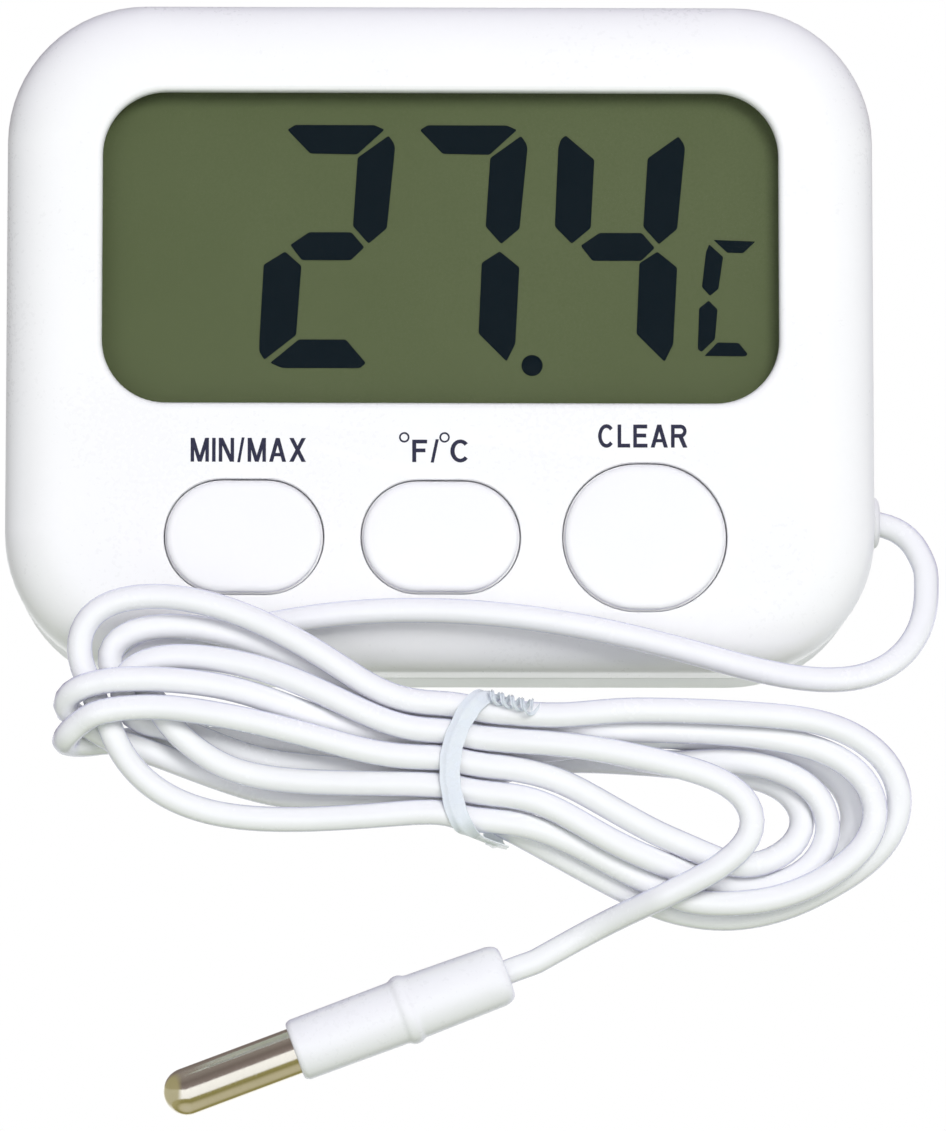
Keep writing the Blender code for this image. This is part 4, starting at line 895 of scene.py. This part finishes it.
# Way points of each half turn as (x, z, depth before the hank's lean).
HALF_TURNS = {
    # P to U run from the tie along the top, round the left end, and back.
    "P": [(-3.5, -28.4, 25.0), (-9.5, -24.6, 25.2), (-16.0, -21.3, 25.0), (-22.5, -19.9, 24.8),
          (-28.0, -21.0, 24.6), (-29.2, -24.2, 24.6), (-26.8, -28.8, 24.2), (-25.6, -32.4, 24.0),
          (-22.6, -35.8, 24.0), (-18.0, -37.6, 24.2), (-12.0, -38.0, 24.4), (-5.0, -37.6, 24.6)],
    "Q": [(-4.5, -28.8, 23.4), (-10.5, -25.6, 23.0), (-16.5, -23.1, 22.8), (-22.5, -22.3, 22.8),
          (-26.8, -23.5, 22.9), (-27.2, -25.8, 23.0), (-23.4, -28.8, 23.4), (-20.4, -31.6, 23.6),
          (-17.2, -34.0, 23.8), (-12.0, -34.9, 24.0), (-6.0, -35.0, 24.6)],
    "R": [(-3.0, -30.6, 25.2), (-8.5, -28.2, 25.2), (-14.0, -25.8, 25.0), (-20.0, -24.7, 24.9),
          (-24.2, -25.0, 24.8), (-26.4, -26.9, 24.4), (-24.4, -29.2, 23.2), (-19.6, -31.2, 22.2),
          (-14.6, -33.3, 22.0), (-9.0, -33.9, 22.0), (-4.0, -34.3, 22.0)],
    "S": [(-5.5, -30.9, 24.0), (-10.0, -29.3, 26.2), (-16.0, -27.2, 27.0), (-22.0, -26.5, 27.0),
          (-27.8, -26.7, 26.8), (-30.6, -28.4, 25.0), (-29.0, -31.0, 21.6), (-24.0, -32.4, 20.0),
          (-18.4, -34.6, 20.2), (-12.5, -36.4, 20.4), (-5.5, -36.2, 21.6)],
    "T": [(-4.5, -32.7, 25.8), (-10.0, -31.1, 26.6), (-17.0, -29.4, 27.0), (-24.0, -28.6, 27.0),
          (-28.8, -29.8, 26.2), (-30.2, -31.4, 23.4), (-26.4, -31.8, 20.2), (-18.5, -31.6, 19.4),
          (-11.0, -32.4, 19.4), (-5.0, -33.2, 19.6)],
    "U": [(-14.0, -22.4, 21.2), (-19.5, -23.6, 21.0), (-24.0, -24.4, 21.0), (-26.4, -26.4, 21.0),
          (-24.6, -28.8, 20.6), (-20.0, -30.8, 18.8), (-14.0, -34.2, 18.4), (-6.0, -35.4, 19.4)],
    # A to E run from the tie along the bottom, round the right end, and back on top.
    "A": [(7.7, -40.0, 21.6), (14.5, -43.7, 21.4), (20.0, -46.0, 21.6), (25.3, -45.9, 22.0),
          (30.3, -43.8, 22.2), (34.8, -40.9, 22.4), (36.9, -36.9, 22.6), (35.6, -33.0, 23.0),
          (31.2, -30.3, 23.6), (24.0, -29.4, 24.0), (14.0, -29.2, 24.4), (7.5, -30.0, 24.8)],
    "B": [(7.8, -38.4, 24.2), (14.5, -41.9, 24.0), (20.5, -44.4, 23.8), (26.0, -44.6, 23.8),
          (31.0, -42.4, 24.2), (34.4, -39.4, 24.6), (34.8, -35.8, 24.8), (31.6, -32.4, 24.4),
          (26.0, -31.2, 23.2), (17.0, -30.8, 22.6), (8.5, -30.9, 22.4)],
    "C": [(7.5, -38.9, 19.6), (14.5, -42.7, 19.2), (21.0, -45.6, 19.2), (27.0, -44.4, 19.8),
          (31.6, -41.4, 21.4), (33.5, -37.5, 22.6), (31.6, -33.9, 22.6), (26.4, -32.2, 21.4),
          (18.5, -31.9, 20.6), (9.5, -32.0, 20.6)],
    "D": [(7.0, -36.0, 25.0), (13.0, -39.4, 25.0), (18.8, -42.2, 24.2), (24.5, -44.0, 22.0),
          (28.8, -42.6, 22.4), (31.2, -38.8, 24.6), (30.2, -35.4, 24.4), (26.0, -33.4, 22.8),
          (18.5, -32.9, 21.4), (9.0, -32.0, 19.6)],
    "E": [(8.5, -34.1, 25.2), (14.0, -37.2, 25.2), (19.0, -40.0, 24.4), (24.0, -42.2, 23.0),
          (28.2, -40.6, 23.0), (29.8, -37.6, 23.0), (27.4, -34.9, 22.4), (21.0, -33.9, 20.2),
          (13.0, -33.2, 19.0), (7.0, -33.0, 20.6)],
}
# The order in which the cable runs through slots and half turns. A minus sign
# means that the half turn is run backwards.
ROUTE = ("U B2 C M2 S M4 A F1 P F5 B M1 Q F4 D B1 -T F3 E M3 -R F2").split()
# From inside the case, out of the right side, round and across the front: (x, z, depth).
ENTRY = [(31.5, EXIT_Z, EXIT_D), (33.5, EXIT_Z, EXIT_D), (35.6, -14.5, 10.6),
         (37.8, -15.6, 11.4), (39.2, -18.2, 13.0), (39.3, -21.6, 15.0), (37.8, -24.6, 17.2),
         (34.6, -26.4, 19.2), (30.4, -26.7, 20.6), (25.8, -26.0, 21.2), (19.0, -24.2, 21.1),
         (12.0, -22.6, 21.1), (4.5, -21.5, 21.1), (-3.5, -21.2, 21.1), (-9.4, -21.6, 21.2)]
# The free end: along the top of the right loop, over the strands, towards the pivot.
LEAD = [(6.4, -31.0, 25.4), (13.0, -32.2, 25.8), (18.4, -33.3, 26.4), (22.6, -34.5, 26.6),
        (25.1, -36.5, 26.8), (25.2, -39.0, 27.2), (22.5, -41.2, 27.4), (18.1, -43.6, 26.8),
        (14.8, -45.3, 24.4)]


def lean(z):
    """The hank leans back as it hangs below the case."""
    below = max(0.0, -28.0 - z)
    return -0.30 * below * below / (below + 2.0)


def hang(d):
    """How far below its way point the cable hangs: more where it stands further forward."""
    return 1.24 + 0.108 * (d - 19.5)


def hung(points):
    """Way points (x, z, depth) with lean and hang, as (x, d, z)."""
    return [(x, d + lean(z), z - hang(d + lean(z))) for x, z, d in points]


def tie_point(slot, along):
    across, layer = SLOTS[slot]
    ux, uz = cos(TIE_ANGLE), sin(TIE_ANGLE)
    x = TIE_X + along * ux - across * uz
    z = TIE_Z + along * uz + across * ux
    return (x, TIE_D + layer * LAYER, z)


def smooth_curve(points, step):
    """Centripetal Catmull-Rom through the points, resampled to even steps."""
    pts = np.array(points, float)
    pts = np.vstack([2 * pts[0] - pts[1], pts, 2 * pts[-1] - pts[-2]])
    fine = []
    for p0, p1, p2, p3 in zip(pts, pts[1:], pts[2:], pts[3:]):
        t1 = max(np.linalg.norm(p1 - p0) ** 0.5, 1e-6)
        t2 = t1 + max(np.linalg.norm(p2 - p1) ** 0.5, 1e-6)
        t3 = t2 + max(np.linalg.norm(p3 - p2) ** 0.5, 1e-6)
        for t in np.linspace(t1, t2, 24, endpoint=False):
            a1 = (t1 - t) / t1 * p0 + t / t1 * p1
            a2 = (t2 - t) / (t2 - t1) * p1 + (t - t1) / (t2 - t1) * p2
            a3 = (t3 - t) / (t3 - t2) * p2 + (t - t2) / (t3 - t2) * p3
            b1 = (t2 - t) / t2 * a1 + t / t2 * a2
            b2 = (t3 - t) / (t3 - t1) * a2 + (t - t1) / (t3 - t1) * a3
            fine.append((t2 - t) / (t2 - t1) * b1 + (t - t1) / (t2 - t1) * b2)
    fine.append(pts[-2])
    fine = np.array(fine)
    run = run_along(fine)
    even = np.linspace(0, run[-1], int(round(run[-1] / step)) + 1)
    return np.stack([np.interp(even, run, fine[:, k]) for k in range(3)], axis=1)


def run_along(points):
    """Distance along a path at each of its points."""
    return np.concatenate([[0], np.cumsum(np.linalg.norm(np.diff(points, axis=0), axis=1))])


def case_depth(x, z):
    """Depth of the case's front surface at each (x, z), or -100 beside the case."""
    qx = np.abs(x) - (CASE_W / 2 - CORNER_R)
    qz = np.abs(z) - (CASE_H / 2 - CORNER_R)
    away = np.hypot(np.maximum(qx, 0), np.maximum(qz, 0)) + np.minimum(np.maximum(qx, qz), 0)
    inside = CORNER_R - away
    t = np.clip((FRONT_IN - inside) / FRONT_IN, 0, 1)
    depth = CASE_D - FRONT_BACK + FRONT_BACK * np.sqrt(1 - t * t)
    return np.where(inside > 0, depth, -100.0)


def spread_strands(pts, step, rounds, ease):
    """Moves touching strands apart, mostly in depth, and holds the front view's shape.
    ease is how much the path is smoothed in x and z in each round."""
    anchor = pts.copy()
    count = len(pts)
    run = np.arange(count) * step
    index = np.arange(count)
    # points nearer than this along the cable do not push each other
    apart = np.triu(np.abs(index[:, None] - index[None, :]) * step >= 6.0)
    # the tie and both ends of the cable stay where they are
    tie = np.array([tie_point(slot, along) for slot in SLOTS for along in (-0.8, 0.0, 0.8)])
    hold = np.ones(count)
    hold[np.linalg.norm(pts[:, None] - tie[None], axis=2).min(axis=1) < 0.8] = 0.0
    hold[(run < 12.0) | (run > run[-1] - 5.0)] = 0.0
    clearance = CABLE_R + 0.35
    for turn in range(rounds):
        if turn % 12 == 0:
            dist = np.linalg.norm(pts[:, None, :] - pts[None, :, :], axis=2)
            first, second = np.nonzero(apart & (dist < 4.0))
        diff = pts[first] - pts[second]
        dist = np.linalg.norm(diff, axis=1) + 1e-9
        part = diff * (np.clip(STRAND_GAP + 0.03 - dist, 0, None) / dist)[:, None]
        push = np.zeros_like(pts)
        np.add.at(push, first, part)
        np.add.at(push, second, -part)
        push = np.clip(push * np.array([0.22, 0.55, 0.22]), -0.25, 0.25)
        soft = np.zeros_like(pts)
        soft[1:-1] = (pts[:-2] + pts[2:]) / 2 - pts[1:-1]
        # the last rounds smooth less in depth, so the gaps open fully
        weight = 0.32 if turn < rounds - 50 else 0.14
        move = push + soft * np.array([ease, weight, ease])
        move += (anchor - pts) * np.array([0.07, 0.002, 0.07])
        pts = pts + move * hold[:, None]
        # keep the cable in front of the case
        need = np.full(count, -100.0)
        for ox, oz in ((0, 0), (0.9, 0), (-0.9, 0), (0, 0.9), (0, -0.9)):
            need = np.maximum(need, case_depth(pts[:, 0] + ox, pts[:, 2] + oz))
        low = (run > 26.0) & (need > 0) & (pts[:, 1] < need + clearance)
        pts[low, 1] = need[low] + CABLE_R + 0.35
    return pts


def cable_path(step=1.5):
    """Centre line of the whole cable from the case to the pivot, in (x, d, z)."""
    # the hang sets in over ENTRY points 3 to 7
    route = [(x, d, z - hang(d) * min(1.0, max(0.0, (k - 3) / 4)))
             for k, (x, z, d) in enumerate(ENTRY)]
    for name in ROUTE:
        if name in SLOTS:
            ends = (-1.2, 1.2) if route[-1][0] < TIE_X else (1.2, -1.2)
            route += [tie_point(name, along) for along in ends]
        else:
            turn = HALF_TURNS[name.strip("-")]
            route += hung(turn[::-1] if name.startswith("-") else turn)
    route += hung(LEAD) + [PIVOT]
    pts = spread_strands(smooth_curve(route, step), step, rounds=160, ease=0.10)
    for _ in range(2):
        pts = spread_strands(smooth_curve(pts, step), step, rounds=120, ease=0.04)
    return pts


def build_cable():
    """The hank rides the case; its last few millimetres, between the case and the probe, are a
    separate piece, cable_end. Returns the hank's centre line in Blender's axes, in mm."""
    pts = [Vector((x, -d, z)) for x, d, z in smooth_curve(cable_path(), 0.7)]
    split = len(pts) - 15
    # The free end runs on through the pivot and into the sleeve.
    stops = [pts[-8], pts[-4], pts[-1]]
    stops += [PROBE_START + PROBE_AXIS * s for s in (-2.6, -1.2, 0.0, 3.0, 8.0)]
    reach = (pts[-1] - pts[-8]).length + 0.4
    onward = [Vector(p) for p in smooth_curve([tuple(p) for p in stops], 0.5)]
    line = pts + [p for p in onward if (p - pts[-8]).length > reach]
    # ease the bend where the two runs meet
    for _ in range(30):
        for k in range(split + 4, len(line) - 22):
            line[k] = (line[k - 1] + line[k] * 2 + line[k + 1]) / 4
    rings = tube_rings(line, CABLE_R, 22)
    fit("cable_hank", loft_world(rings[: split + 1]), "cable_pvc", "sensor_cable", sharp=50)
    end = place("cable_end", loft_world(rings[split:]), "cable_pvc", 50)
    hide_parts("probe_lead")
    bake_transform(end)
    return pts


# ================================= tie =======================================
# Cross-section of the film as (across, out): a flat strip with a bead down its middle.
FILM_SECTION = [(-0.82, 0.0), (-0.80, 0.07), (-0.52, 0.09), (-0.38, 0.17), (-0.24, 0.22),
                (-0.10, 0.17), (0.04, 0.09), (0.80, 0.07), (0.82, 0.0), (0.4, -0.03),
                (0.0, -0.03), (-0.4, -0.03)]


def hull(points):
    """Convex hull of 2D points, counter-clockwise."""
    def half(row):
        out = []
        for p in row:
            while len(out) > 1 and ((out[-1][0] - out[-2][0]) * (p[1] - out[-2][1])
                                    - (out[-1][1] - out[-2][1]) * (p[0] - out[-2][0])) <= 0:
                out.pop()
            out.append(p)
        return out[:-1]

    ordered = sorted(set(points))
    return half(ordered) + half(ordered[::-1])


def tie_loop(strands, centre, u, v, count):
    """Even points (u, v) of a taut loop round the strands, in the plane of u and v."""
    normal = u.cross(v).normalized()
    spots = []
    for a, b in zip(strands, strands[1:]):
        da, db = (a - centre).dot(normal), (b - centre).dot(normal)
        if da * db > 0 or da == db:
            continue
        hit = a + (b - a) * (da / (da - db))
        if (hit - centre).length > 8.8:
            continue
        t = (b - a).normalized()
        e, f = frame_at(t)
        for k in range(20):
            p = hit + (e * cos(pi * k / 10) + f * sin(pi * k / 10)) * (CABLE_R + 0.22)
            p = p + t * ((centre - p).dot(normal) / t.dot(normal))
            spots.append((round((p - centre).dot(u), 4), round((p - centre).dot(v), 4)))
    loop = hull(spots)
    loop = np.array(loop + [loop[0]])
    run = run_along(loop)
    even = np.linspace(0, run[-1], count, endpoint=False)
    flat = np.stack([np.interp(even, run, loop[:, k]) for k in range(2)], axis=1)
    for _ in range(3):
        flat = (np.roll(flat, 1, axis=0) + 2 * flat + np.roll(flat, -1, axis=0)) / 4
    return flat


def film_band(path, centre, along):
    """The film carried round the closed path, slightly rippled in width."""
    rings = []
    for i, p in enumerate(path):
        t = (path[(i + 1) % len(path)] - path[i - 1]).normalized()
        out = t.cross(along)
        if out.dot(p - centre) < 0:
            out = -out
        out = out.normalized()
        wide = out.cross(t).normalized()
        if wide.dot(along) < 0:
            wide = -wide
        ripple = 0.03 * sin(i * 0.9) + 0.02 * sin(i * 0.37)
        rings.append([tuple(p + wide * (w * (1 + ripple)) + out * (h + 0.16))
                      for w, h in FILM_SECTION])
    return loft_world(rings, closed=True)


def film_ends(home):
    """Two twisted ends, lying over the strands to the right of the top of the loop."""
    way = Vector((0.90, -0.34, -0.26)).normalized()
    e, f = frame_at(way)
    ends = []
    for k in range(2):
        rows = []
        for i in range(41):
            q = i / 40
            a = pi * k + q * 4.6 * pi
            reach = 0.34 if q < 0.8 else 0.34 + (q - 0.8) * 1.6
            out = e * cos(a) + f * sin(a)
            wide = e * -sin(a) + f * cos(a)
            mid = home + way * (q * 4.0) + out * reach
            rows.append([tuple(mid + wide * (w * 0.42) + out * (h * 1.1))
                         for w, h in FILM_SECTION])
        ends.append(loft_world(rows))
    return ends


def build_tie(strands):
    """A film twist tie round the middle of the hank, its plane slanting so that
    the front of the loop lies further left, with its ends twisted at the top."""
    along = Vector((cos(TIE_ANGLE), 0, sin(TIE_ANGLE)))
    across = Vector((-sin(TIE_ANGLE), 0, cos(TIE_ANGLE)))
    front = Vector((0, -1, 0))
    centre = Vector((TIE_X, -TIE_D, TIE_Z)) + along * 3.5
    u = (across - along * 0.14).normalized()
    v = (front - along * 0.80).normalized()
    v = u.cross(v).normalized().cross(u).normalized()
    flat = tie_loop(strands, centre, u, v, count=150)
    # The front of the loop bows left between its ends; the back shifts right with depth.
    far = float(np.abs(flat[:, 0]).max())
    path = []
    for a, b in flat:
        a, b = float(a), float(b)
        slip = -2.0 * (1 - (a / far) ** 2) * min(1.0, max(0.0, b)) - 0.70 * max(0.0, -b)
        path.append(centre + u * a + v * b + along * slip)
    top = max(path, key=lambda p: p.z - p.y * 0.25)
    ends = film_ends(top + Vector((0.1, -0.60, -0.05)))
    fit("twist_tie", merge(film_band(path, centre, along), *ends), "tie_film", "cable_tie",
        sharp=40)


# =============================== probe =======================================
BORE_AT = SLEEVE_L - 3.5            # where the sleeve's wide bore for the tip begins
BORE_R, LEAD_R = 1.955, 1.14        # of the wide bore and of the cable's bore


def build_sleeve():
    # (distance, radius): cable end, body, raised ring, body, tip end, bore
    profile = [(0.25, LEAD_R), (0.06, 1.2), (0.0, 1.32), (0.0, 1.85), (0.06, 2.02),
               (0.22, 2.2), (0.5, 2.36), (0.95, 2.48)]
    profile += [(0.95 + (RING_AT - 1.55) * k / 7, 2.48 + 0.12 * k / 7) for k in range(1, 8)]
    ring = [(-0.35, 2.60), (-0.15, 2.63), (0.0, 2.70), (0.14, 2.78), (0.35, 2.83),
            (0.65, 2.83), (0.85, 2.78), (1.0, 2.70), (1.15, 2.61), (1.35, 2.565)]
    profile += [(RING_AT + s, r) for s, r in ring]
    profile += [(RING_AT + 1.35 + (SLEEVE_L - RING_AT - 1.85) * k / 7, 2.565 - 0.055 * k / 7)
                for k in range(1, 8)]
    end = [(0.35, 2.47), (0.15, 2.38), (0.04, 2.26), (0, 2.10), (0.03, 1.99), (0.2, BORE_R)]
    profile += [(SLEEVE_L - s, r) for s, r in end]
    profile += [(BORE_AT, BORE_R), (BORE_AT, LEAD_R)]
    fit("sleeve_body", turned_probe(profile, 64, closed=True), "sleeve_white", "probe_sleeve",
        sharp=40, body="probe")


def tip_dome(radius, steps):
    """Round end of the tip as (distance, radius), from its side to its pole."""
    return [(PROBE_L - TIP_R + radius * rise, max(radius * (1 - inset), 0.02))
            for rise, inset in quarter(steps)]


def build_tip():
    inner_r, root = 1.5, BORE_AT + 0.36
    profile = tip_dome(inner_r, 10)[::-1]
    profile += [(BORE_AT + 0.3, inner_r), (BORE_AT + 0.3, TIP_R - 0.06), (root, TIP_R)]
    profile += [(root + (PROBE_L - TIP_R - root) * k / 8, TIP_R) for k in range(1, 8)]
    profile += tip_dome(TIP_R, 16)
    fit("steel_tip", turned_probe(profile, 72), "tip_steel", "probe_tip", sharp=60,
        body="probe")


# ============================ rear fittings ==================================
def grip_bars(half_width, d0, d1, z, pitch):
    """Three bars across, from z upwards."""
    return merge(*[box(-half_width, half_width, d0, d1, z + pitch * k, z + 0.4 + pitch * k)
                   for k in range(3)])


def build_door():
    plate = growing(WELL_W - 2 * DOOR_GAP, WELL_H - 2 * DOOR_GAP, 0.6, 5, 0, CELL_Z)
    door = place("door_panel",
                 loft_stack(plate, [(-0.22, 0.0), (-0.07, 0.06), (0, 0.22), (0, 1.2)]),
                 "case_rear_white")
    # two hooks below and a tab above
    for x in (HOOK_X, -HOOK_X):
        add(door, box(x - 2.0, x + 2.0, 1.0, 2.65, 5.5, 6.7),
            box(x - 2.0, x + 2.0, 1.95, 2.65, 4.2, 5.7))
    add(door, box(-4.0, 4.0, 0.02, 1.2, 16.4, 18.0))
    # thumb groove with three grip bars
    cut(door, loft([ring_of(outline(7.6, 4.2, 0.9, 6, 0, 14.2), -0.2),
                    ring_of(outline(7.2, 3.8, 0.8, 6, 0, 14.2), 0.3)]))
    add(door, grip_bars(2.9, 0.06, 0.5, z=12.95, pitch=1.05))
    dress(door, weighted=True)
    give(door, "battery_door", "battery_door")


def build_stand():
    plate = growing(19.2, 18.4, 1.2, 6, 0, -13.4)
    leg = place("stand_leg",
                loft_stack(plate, [(-0.3, 0.3), (-0.08, 0.37), (0, 0.6), (0, 1.9)]),
                "case_rear_white")
    # hinge barrel and its pins
    for profile, sides in (([(-9.6, 1.2), (-9.45, 1.35), (9.45, 1.35), (9.6, 1.2)], 32),
                           ([(-10.95, 0.6), (-10.8, 0.7), (10.8, 0.7), (10.95, 0.6)], 24)):
        add(leg, turned_x(0, STAND_D, STAND_Z, profile, sides))
    # hollow in the inner face
    cut(leg, loft([ring_of(outline(11.0, 8.0, 1.5, 6, 0, -13.0), 1.3),
                   ring_of(outline(11.4, 8.4, 1.6, 6, 0, -13.0), 2.2)]))
    # moulded ribs for a fingertip near the free edge
    add(leg, grip_bars(4.2, 0.08, 0.6, z=-20.6, pitch=0.95))
    dress(leg, weighted=True)
    give(leg, "stand", "stand")


def build_screws():
    # (depth, radius): head, shank, ten threads, point
    profile = [(3.42, 0.02), (3.42, 0.8), (3.5, 1.25), (3.68, 1.55), (3.95, 1.72), (4.2, 1.75),
               (4.9, 1.75), (4.9, 0.9)]
    for k in range(10):
        d = 5.4 + 0.84 * k
        profile += [(d, 0.9), (d + 0.28, 1.08), (d + 0.56, 0.9)]
    profile += [(13.9, 0.88), (14.5, 0.2)]
    # one blade of the cross recess: (half length, half width, depth)
    blade = ((1.02, 0.2, 3.0), (1.02, 0.2, 3.6), (0.5, 0.16, 4.5))
    for k, (x, z) in enumerate(CORNER_SCREWS, 1):
        screw = place("screw_%d" % k, turned_d(x, z, profile, 36), "screw_zinc")
        turn = 0.35 + 1.1 * k
        for angle in (turn, turn + pi / 2):
            ca, sa = cos(angle), sin(angle)
            cut(screw, loft([[(x + p * ca - q * sa, d, z + p * sa + q * ca)
                              for p, q in ((a, b), (-a, b), (-a, -b), (a, -b))]
                             for a, b, d in blade]))
        dress(screw, 35)
        give(screw, "case", "case_screw_%d" % k)


def build_battery():
    length = CELL_L
    # (x offset, radius) from the negative end to the button
    profile = [(0.02, 0.02), (0.02, 4.5), (0.1, 4.75), (0.3, 4.95), (0.42, 5.1), (0.6, CELL_R),
               (length - 1.75, CELL_R), (length - 1.5, 5.1), (length - 1.42, 4.8),
               (length - 1.55, 4.5), (length - 1.5, 3.2), (length - 1.25, 2.2),
               (length - 1.1, 1.9), (length - 0.2, 1.88), (length - 0.05, 1.75),
               (length - 0.02, 0.02)]
    fit("battery_cell", turned_x(-20.4, CELL_D, CELL_Z, profile, 72), "cell_jacket", "battery",
        sharp=35)


def build_spring():
    turns, steps = 4, 26
    coil = []
    for i in range(turns * steps + 1):
        a = 2 * pi * i / steps
        share = i / (turns * steps)
        radius = 3.4 - 1.4 * share
        coil.append((-24.1 + 3.0 * share, -(CELL_D + radius * cos(a)), CELL_Z + radius * sin(a)))
    fit("contact_spring", loft_world(tube_rings(coil, 0.28, 10)), "spring_nickel",
        "battery_spring", sharp=50)


def build_grommet():
    # (x, radius): inner flange, neck through the wall, rounded outer lip
    ring = [(32.1, 1.22), (32.1, 2.6), (32.2, 2.7), (32.95, 2.7), (33.05, 2.6), (33.05, 1.85),
            (34.9, 1.85), (35.1, 2.05), (35.28, 2.1), (35.45, 2.02), (35.62, 1.8), (35.7, 1.5),
            (35.68, 1.3), (35.55, 1.22)]
    fit("grommet_ring", turned_x(0, EXIT_D, EXIT_Z, ring, 48, closed=True), "grommet_white",
        "cable_grommet", sharp=35)


# ================================ stage ======================================
# In metres from here on.
def build_floor():
    floor_z, half = -0.086, 6.0
    mesh = bpy.data.meshes.new("floor")
    mesh.from_pydata([(-half, -half, floor_z), (half, -half, floor_z), (half, half, floor_z),
                      (-half, half, floor_z)], [], [(0, 1, 2, 3)])
    floor = bpy.data.objects.new("floor", mesh)
    bpy.context.scene.collection.objects.link(floor)
    n = material("floor_paper")
    seen = n.new("ShaderNodeLightPath").outputs["Is Camera Ray"]
    paper = n.mix(n.noise(scale=6.0), (0.94, 0.94, 0.90), (0.96, 0.96, 0.925))
    n.shade(Base_Color=n.mix(seen, (0.40, 0.45, 0.38), paper), Roughness=0.9,
            Specular_IOR_Level=0.1)
    # To the camera, the paper fades to white away from the object.
    away = n.new("ShaderNodeVectorMath", Vector=n.coords())
    away.operation = "LENGTH"
    fade = n.remap(away.outputs["Value"], to=(0.12, 1), over=(0.16, 0.9))
    lit = n.new("ShaderNodeMath")
    lit.operation = "MULTIPLY"
    n.feed(lit.inputs[0], fade)
    n.feed(lit.inputs[1], seen)
    glow = n.new("ShaderNodeEmission")
    n.finish(n.mix_shaders(lit.outputs[0], n.shader.outputs[0], glow.outputs[0]))
    mesh.materials.append(n.owner)
    floor.visible_glossy = False
    floor.visible_diffuse = False


def build_world():
    scene = bpy.context.scene
    scene.view_settings.view_transform = "Standard"
    scene.view_settings.look = "None"
    scene.world = bpy.data.worlds.new("studio")
    n = Nodes(scene.world)
    n.tree.nodes.clear()
    where = n.new("ShaderNodeTexCoord").outputs["Generated"]
    split = n.new("ShaderNodeSeparateXYZ", Vector=where)
    # 0 straight down, 0.5 level, 1 straight up
    lift = n.remap(split.outputs["Z"], to=(0, 1), over=(-1, 1))
    # What lights matt surfaces: soft, a little violet from above and green-grey from below.
    soft = n.ramp(lift, [
        (0.0, (0.50, 0.58, 0.38)), (0.12, (0.66, 0.75, 0.60)), (0.30, (0.86, 0.86, 0.95)),
        (0.46, (0.54, 0.54, 0.61)), (0.56, (0.34, 0.35, 0.37)), (0.75, (0.36, 0.355, 0.44)),
        (1.0, (0.46, 0.44, 0.62))])
    # What polished surfaces mirror: a bright band about level, dim above, buff below.
    mirror = n.ramp(lift, [
        (0.0, (0.62, 0.58, 0.42)), (0.045, (0.58, 0.53, 0.35)), (0.10, (0.30, 0.27, 0.10)),
        (0.19, (0.36, 0.32, 0.13)), (0.225, (1.15, 1.15, 1.15)), (0.55, (1.25, 1.25, 1.25)),
        (0.585, (0.30, 0.25, 0.24)), (0.80, (0.20, 0.165, 0.15)), (1.0, (0.34, 0.30, 0.28))])
    # buff towards the left
    edge = n.remap(split.outputs["X"], to=(0, 0.85), over=(-0.38, -0.70))
    mirror = n.mix(edge, mirror, (0.46, 0.42, 0.22))
    rays = n.new("ShaderNodeLightPath").outputs
    matt, glossy, camera = [
        n.new("ShaderNodeBackground", Color=colour, Strength=strength).outputs[0]
        for colour, strength in ((soft, 0.86), (mirror, 1.0), ((1.0, 1.0, 1.0, 1), 1.0))]
    light = n.mix_shaders(rays["Is Glossy Ray"], matt, glossy)
    light = n.mix_shaders(rays["Is Camera Ray"], light, camera)
    n.new("ShaderNodeOutputWorld", Surface=light)


def link_facing(name, data, location, way):
    """Link a light or camera that looks along `way`."""
    obj = bpy.data.objects.new(name, data)
    obj.location = location
    obj.rotation_mode = "QUATERNION"
    obj.rotation_quaternion = way.to_track_quat("-Z", "Y")
    bpy.context.scene.collection.objects.link(obj)
    return obj


def build_lights():
    aim = Vector((0.0, -0.01, -0.015))
    # name, place, side of the square, watts, colour
    for name, where, size, power, colour in (
            ("key", (0.34, -1.12, 0.36), 0.5, 8.7, (1.0, 1.0, 0.985)),
            ("fill", (-0.55, -0.95, 0.05), 0.7, 2.2, (0.97, 0.98, 1.0)),
            ("back", (0.45, 1.1, 0.75), 0.8, 9.5, (1.0, 1.0, 0.98))):
        data = bpy.data.lights.new(name, "AREA")
        data.shape = "SQUARE"
        data.size = size
        data.energy = power
        data.color = colour
        lamp = link_facing(name, data, where, aim - Vector(where))
        lamp.visible_camera = False
        lamp.visible_glossy = False


def build_camera():
    """Looks almost squarely at the front face, a little from the left and from below."""
    centre = Vector((2.574, -CASE_D, -18.894)) * MM
    frame_size = 90.220166 * MM     # what the sensor's width covers at the front face
    distance = 0.52
    side, rise = radians(-0.883), radians(-6.177)
    back = Vector((sin(side) * cos(rise), -cos(side) * cos(rise), sin(rise)))
    data = bpy.data.cameras.new("camera")
    data.sensor_width = 36.0
    data.lens = data.sensor_width * distance / frame_size
    data.clip_start, data.clip_end = 0.01, 50.0
    bpy.context.scene.camera = link_facing("camera", data, centre + back * distance, -back)


build_front_shell()
build_rear_shell()
build_keys()
build_window()
build_figures()
build_labels()
build_tie(build_cable())
build_sleeve()
build_tip()
build_door()
build_stand()
build_screws()
build_battery()
build_spring()
build_grommet()
build_floor()
build_world()
build_lights()
build_camera()
